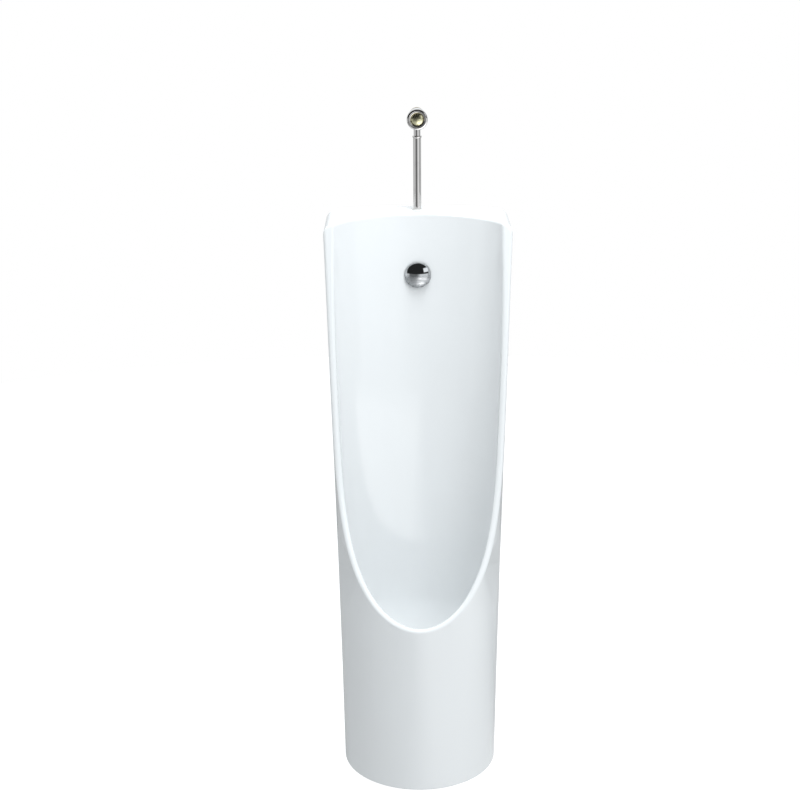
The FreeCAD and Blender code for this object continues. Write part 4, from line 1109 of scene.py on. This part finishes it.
def bent_strip(name, node):
    """One hanger in place of a node, drawn from the side and extruded to its width."""
    low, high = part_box(node)
    left, right = low[0], high[0]
    hook_front, foot, head = low[1], low[2], high[2]
    tongue = head - HOOK_TONGUE

    def spot(depth, height):
        return Vector((left, depth, height))

    corners = [
        (spot(0, foot), STRIP_CORNER),
        (spot(-PLATE, foot), STRIP_CORNER),
        (spot(-PLATE, tongue), BEND_INSIDE),
        (spot(hook_front, tongue), BEND_OUTSIDE),
        (spot(hook_front, head), STRIP_CORNER),
        (spot(hook_front + PLATE, head), STRIP_CORNER),
        (spot(hook_front + PLATE, tongue + PLATE), BEND_INSIDE),
        (spot(-PLATE, tongue + PLATE), BEND_INSIDE),
        (spot(-PLATE, head), STRIP_CORNER),
        (spot(0, head), STRIP_CORNER),
    ]
    spots = [place for place, _ in corners]
    strip = draw_outline(name, spots + spots[:1])
    for place, radius in corners:
        round_off(strip, place, radius)
    bpy.ops.mesh.select_all(action="SELECT")
    bpy.ops.mesh.edge_face_add()
    bpy.ops.mesh.extrude_region_move(TRANSFORM_OT_translate={"value": (right - left, 0, 0)})
    bpy.ops.mesh.select_all(action="SELECT")
    bpy.ops.mesh.normals_make_consistent(inside=False)
    bpy.ops.object.mode_set(mode="OBJECT")
    half_side = math.pi / SCREW_SIDES
    holes = []
    for side in (-1, 1):
        middle = ((left + right) / 2, 0, side * SCREW_SPACING / 2)
        holes.append(rod(SCREW_RADIUS, SCREW_TOOL_LONG, middle, (math.pi / 2, half_side, 0), SCREW_SIDES))
    carve(strip, joined(holes), "DIFFERENCE")
    edge = strip.modifiers.new("broken_edge", "BEVEL")
    edge.width = BROKEN_EDGE
    edge.segments = EDGE_STEPS
    edge.angle_limit = EDGE_ANGLE
    bpy.ops.object.modifier_apply(modifier=edge.name)
    smooth(strip)
    stand_in(strip, node, zinc)


bent_strip("left_bent_hanger", "left_hanger")
bent_strip("right_bent_hanger", "right_hanger")

# %% [markdown]
# Floor, surroundings and light
#
# The urinal hangs on a wall, so its foot is some way above the floor. The floor is plain and pale, white
# to the eye, and it takes the shadow. What the glaze and the polished metal mirror is another matter: a dim
# room with a window on the right and daylight on that side of the floor. The dark band on the pipe, the
# black cap of the dome and the soft upright edge on the pedestal come from there. So the room in front of
# the object is drawn for mirror rays, by bearing and by height, and behind the object mirrors show the pale
# background. The light itself is a little cool, as daylight is, and plain in level: an even fill from all
# round, a large soft box overhead and a weaker one on the right.

# %% Helpers for the light


def band(tree, value, low, high, soft):
    """1 between two limits and 0 outside, with soft edges."""
    rising = spread(tree, value, 0, 1, low - soft, low + soft)
    falling = spread(tree, value, 1, 0, high - soft, high + soft)
    return arithmetic(tree, "MULTIPLY", rising, falling)


def by_ray(tree, to_camera, to_mirrors, to_others):
    """One value for rays from the eye, one for mirror and glass rays and one for the rest."""
    path = tree.nodes.new("ShaderNodeLightPath")
    glossy, through = path.outputs["Is Glossy Ray"], path.outputs["Is Transmission Ray"]
    mirrors = arithmetic(tree, "MAXIMUM", glossy, through)
    others = arithmetic(tree, "SUBTRACT", 1, mirrors)
    total = arithmetic(tree, "MULTIPLY", others, to_others)
    total = arithmetic(tree, "ADD", total, arithmetic(tree, "MULTIPLY", mirrors, to_mirrors))
    mix = tree.nodes.new("ShaderNodeMix")
    mix.inputs["B"].default_value = to_camera
    tree.links.new(path.outputs["Is Camera Ray"], mix.inputs["Factor"])
    tree.links.new(total, mix.inputs["A"])
    return mix.outputs["Result"]


# %% Floor
FLOOR_DROP = 0.30
FLOOR_REACH = 3.6
FLOOR_SIDES = 96
FLOOR_PALE = (0.62, 0.62, 0.62)
FLOOR_ROUGHNESS = 0.9
FLOOR_GLOW = 0.72
DAYLIGHT_ON_FLOOR = 1.6
DAYLIGHT_EDGE = 0.25

start_fresh()
foot = cad_box[0][2]
bpy.ops.mesh.primitive_circle_add(vertices=FLOOR_SIDES, radius=FLOOR_REACH, fill_type="NGON",
                                  location=(0, 0, foot - FLOOR_DROP))
floor = bpy.context.object
floor.name = "floor"
pale, tree, shader, where = new_finish("pale_floor")
shader.inputs["Base Color"].default_value = (*FLOOR_PALE, 1)
shader.inputs["Roughness"].default_value = FLOOR_ROUGHNESS
shader.inputs["Specular IOR Level"].default_value = 0.0
shader.inputs["Emission Color"].default_value = (1, 1, 1, 1)
split = tree.nodes.new("ShaderNodeSeparateXYZ")
tree.links.new(where, split.inputs["Vector"])
# Painted reflection: a glow on the floor's right front, for mirror rays only, standing in for a sunlit floor
right_side = spread(tree, split.outputs["X"], 0, DAYLIGHT_ON_FLOOR, -DAYLIGHT_EDGE, DAYLIGHT_EDGE)
in_front = spread(tree, split.outputs["Y"], 1, 0, -2 * DAYLIGHT_EDGE, 2 * DAYLIGHT_EDGE)
painted_daylight = arithmetic(tree, "MULTIPLY", right_side, in_front)
tree.links.new(by_ray(tree, FLOOR_GLOW, painted_daylight, 0), shader.inputs["Emission Strength"])
floor.data.materials.append(pale)
print("floor:", FLOOR_DROP, "m below the foot")

# %% World
COOL_WHITE = (0.945, 0.98, 1.0)

world = bpy.data.worlds.new("studio")
bpy.context.scene.world = world
world.use_nodes = True
tree = world.node_tree
background = tree.nodes["Background"]
path = tree.nodes.new("ShaderNodeLightPath")
tint = two_colours(tree, path.outputs["Is Camera Ray"], COOL_WHITE, (1, 1, 1))
tree.links.new(tint, background.inputs["Color"])
split = tree.nodes.new("ShaderNodeSeparateXYZ")
tree.links.new(tree.nodes.new("ShaderNodeTexCoord").outputs["Generated"], split.inputs["Vector"])
rise = split.outputs["Z"]
forward = arithmetic(tree, "MULTIPLY", split.outputs["Y"], -1)
bearing = arithmetic(tree, "ARCTAN2", split.outputs["X"], forward)
print("world:", world.name)

# %% Lower room
HORIZON_SOFT = 0.03
# How bright the lower room looks at each bearing, in degrees to the right of the way to the camera
BEARINGS = [
    (-180, 0.80), (-105, 0.55), (-95, 0.75), (-52, 0.75), (-44, 0.18), (-4, 0.18), (6, 0.50),
    (17, 1.00), (58, 1.00), (64, 0.45), (104, 0.45), (116, 0.85), (180, 0.80),
]

ramp = tree.nodes.new("ShaderNodeValToRGB")
stops = ramp.color_ramp.elements
while len(stops) < len(BEARINGS):
    stops.new(0.5)
for stop, (degrees, bright) in zip(stops, BEARINGS):
    stop.position = (degrees + 180) / 360
    stop.color = (bright, bright, bright, 1)
tree.links.new(spread(tree, bearing, 0, 1, -math.pi, math.pi), ramp.inputs["Fac"])
below_horizon = spread(tree, rise, 1, 0, -HORIZON_SOFT, HORIZON_SOFT)
room = arithmetic(tree, "MULTIPLY", ramp.outputs["Color"], below_horizon)
print("lower room:", len(BEARINGS), "bearings")

# %% Upper room, window and fill
ROOM_FILL = 0.58
WHITE_TO_THE_EYE = 1.0
UPPER_ROOM = 0.03
WINDOW = 1.3
WINDOW_BEARING = (math.radians(36), math.radians(66))
WINDOW_RISE = (0.15, 0.50)
WINDOW_SOFT = math.radians(2)
WALL_BEARING = (math.radians(95), math.radians(115))

across = band(tree, bearing, *WINDOW_BEARING, WINDOW_SOFT)
upright = band(tree, rise, *WINDOW_RISE, HORIZON_SOFT)
window = arithmetic(tree, "MULTIPLY", across, upright)
room = arithmetic(tree, "ADD", room, arithmetic(tree, "MULTIPLY", window, WINDOW))
room = arithmetic(tree, "ADD", room, UPPER_ROOM)
behind = spread(tree, arithmetic(tree, "ABSOLUTE", bearing, 0), 0, 1, *WALL_BEARING)
above_horizon = spread(tree, rise, 0, 1, -HORIZON_SOFT, HORIZON_SOFT)
room = arithmetic(tree, "ADD", room, arithmetic(tree, "MULTIPLY", behind, above_horizon))
tree.links.new(by_ray(tree, WHITE_TO_THE_EYE, room, ROOM_FILL), background.inputs["Strength"])
print("fill:", ROOM_FILL, "window:", WINDOW)

# %% Soft boxes


def soft_box(name, place, aim, wide, tall, watts):
    """A rectangular area light aimed at a point, for plain shading only: mirrors show the room instead."""
    data = bpy.data.lights.new(name, "AREA")
    data.shape = "RECTANGLE"
    data.size = wide
    data.size_y = tall
    data.energy = watts
    data.color = COOL_WHITE
    light = bpy.data.objects.new(name, data)
    bpy.context.scene.collection.objects.link(light)
    light.visible_camera = False
    light.visible_glossy = False
    light.location = place
    light.rotation_euler = (Vector(aim) - Vector(place)).to_track_quat("-Z", "Y").to_euler()
    print("light:", name, watts, "W")


BOWL_MIDDLE = (0, -0.15, -0.25)
ON_THE_RIGHT = (1.0, -1.75, 1.3)
OVERHEAD = (0.2, -0.85, 2.5)
soft_box("right_soft_box", ON_THE_RIGHT, BOWL_MIDDLE, wide=1.2, tall=1.2, watts=16)
soft_box("overhead_box", OVERHEAD, BOWL_MIDDLE, wide=1.2, tall=1.0, watts=52)
bpy.context.scene.view_settings.view_transform = "Standard"
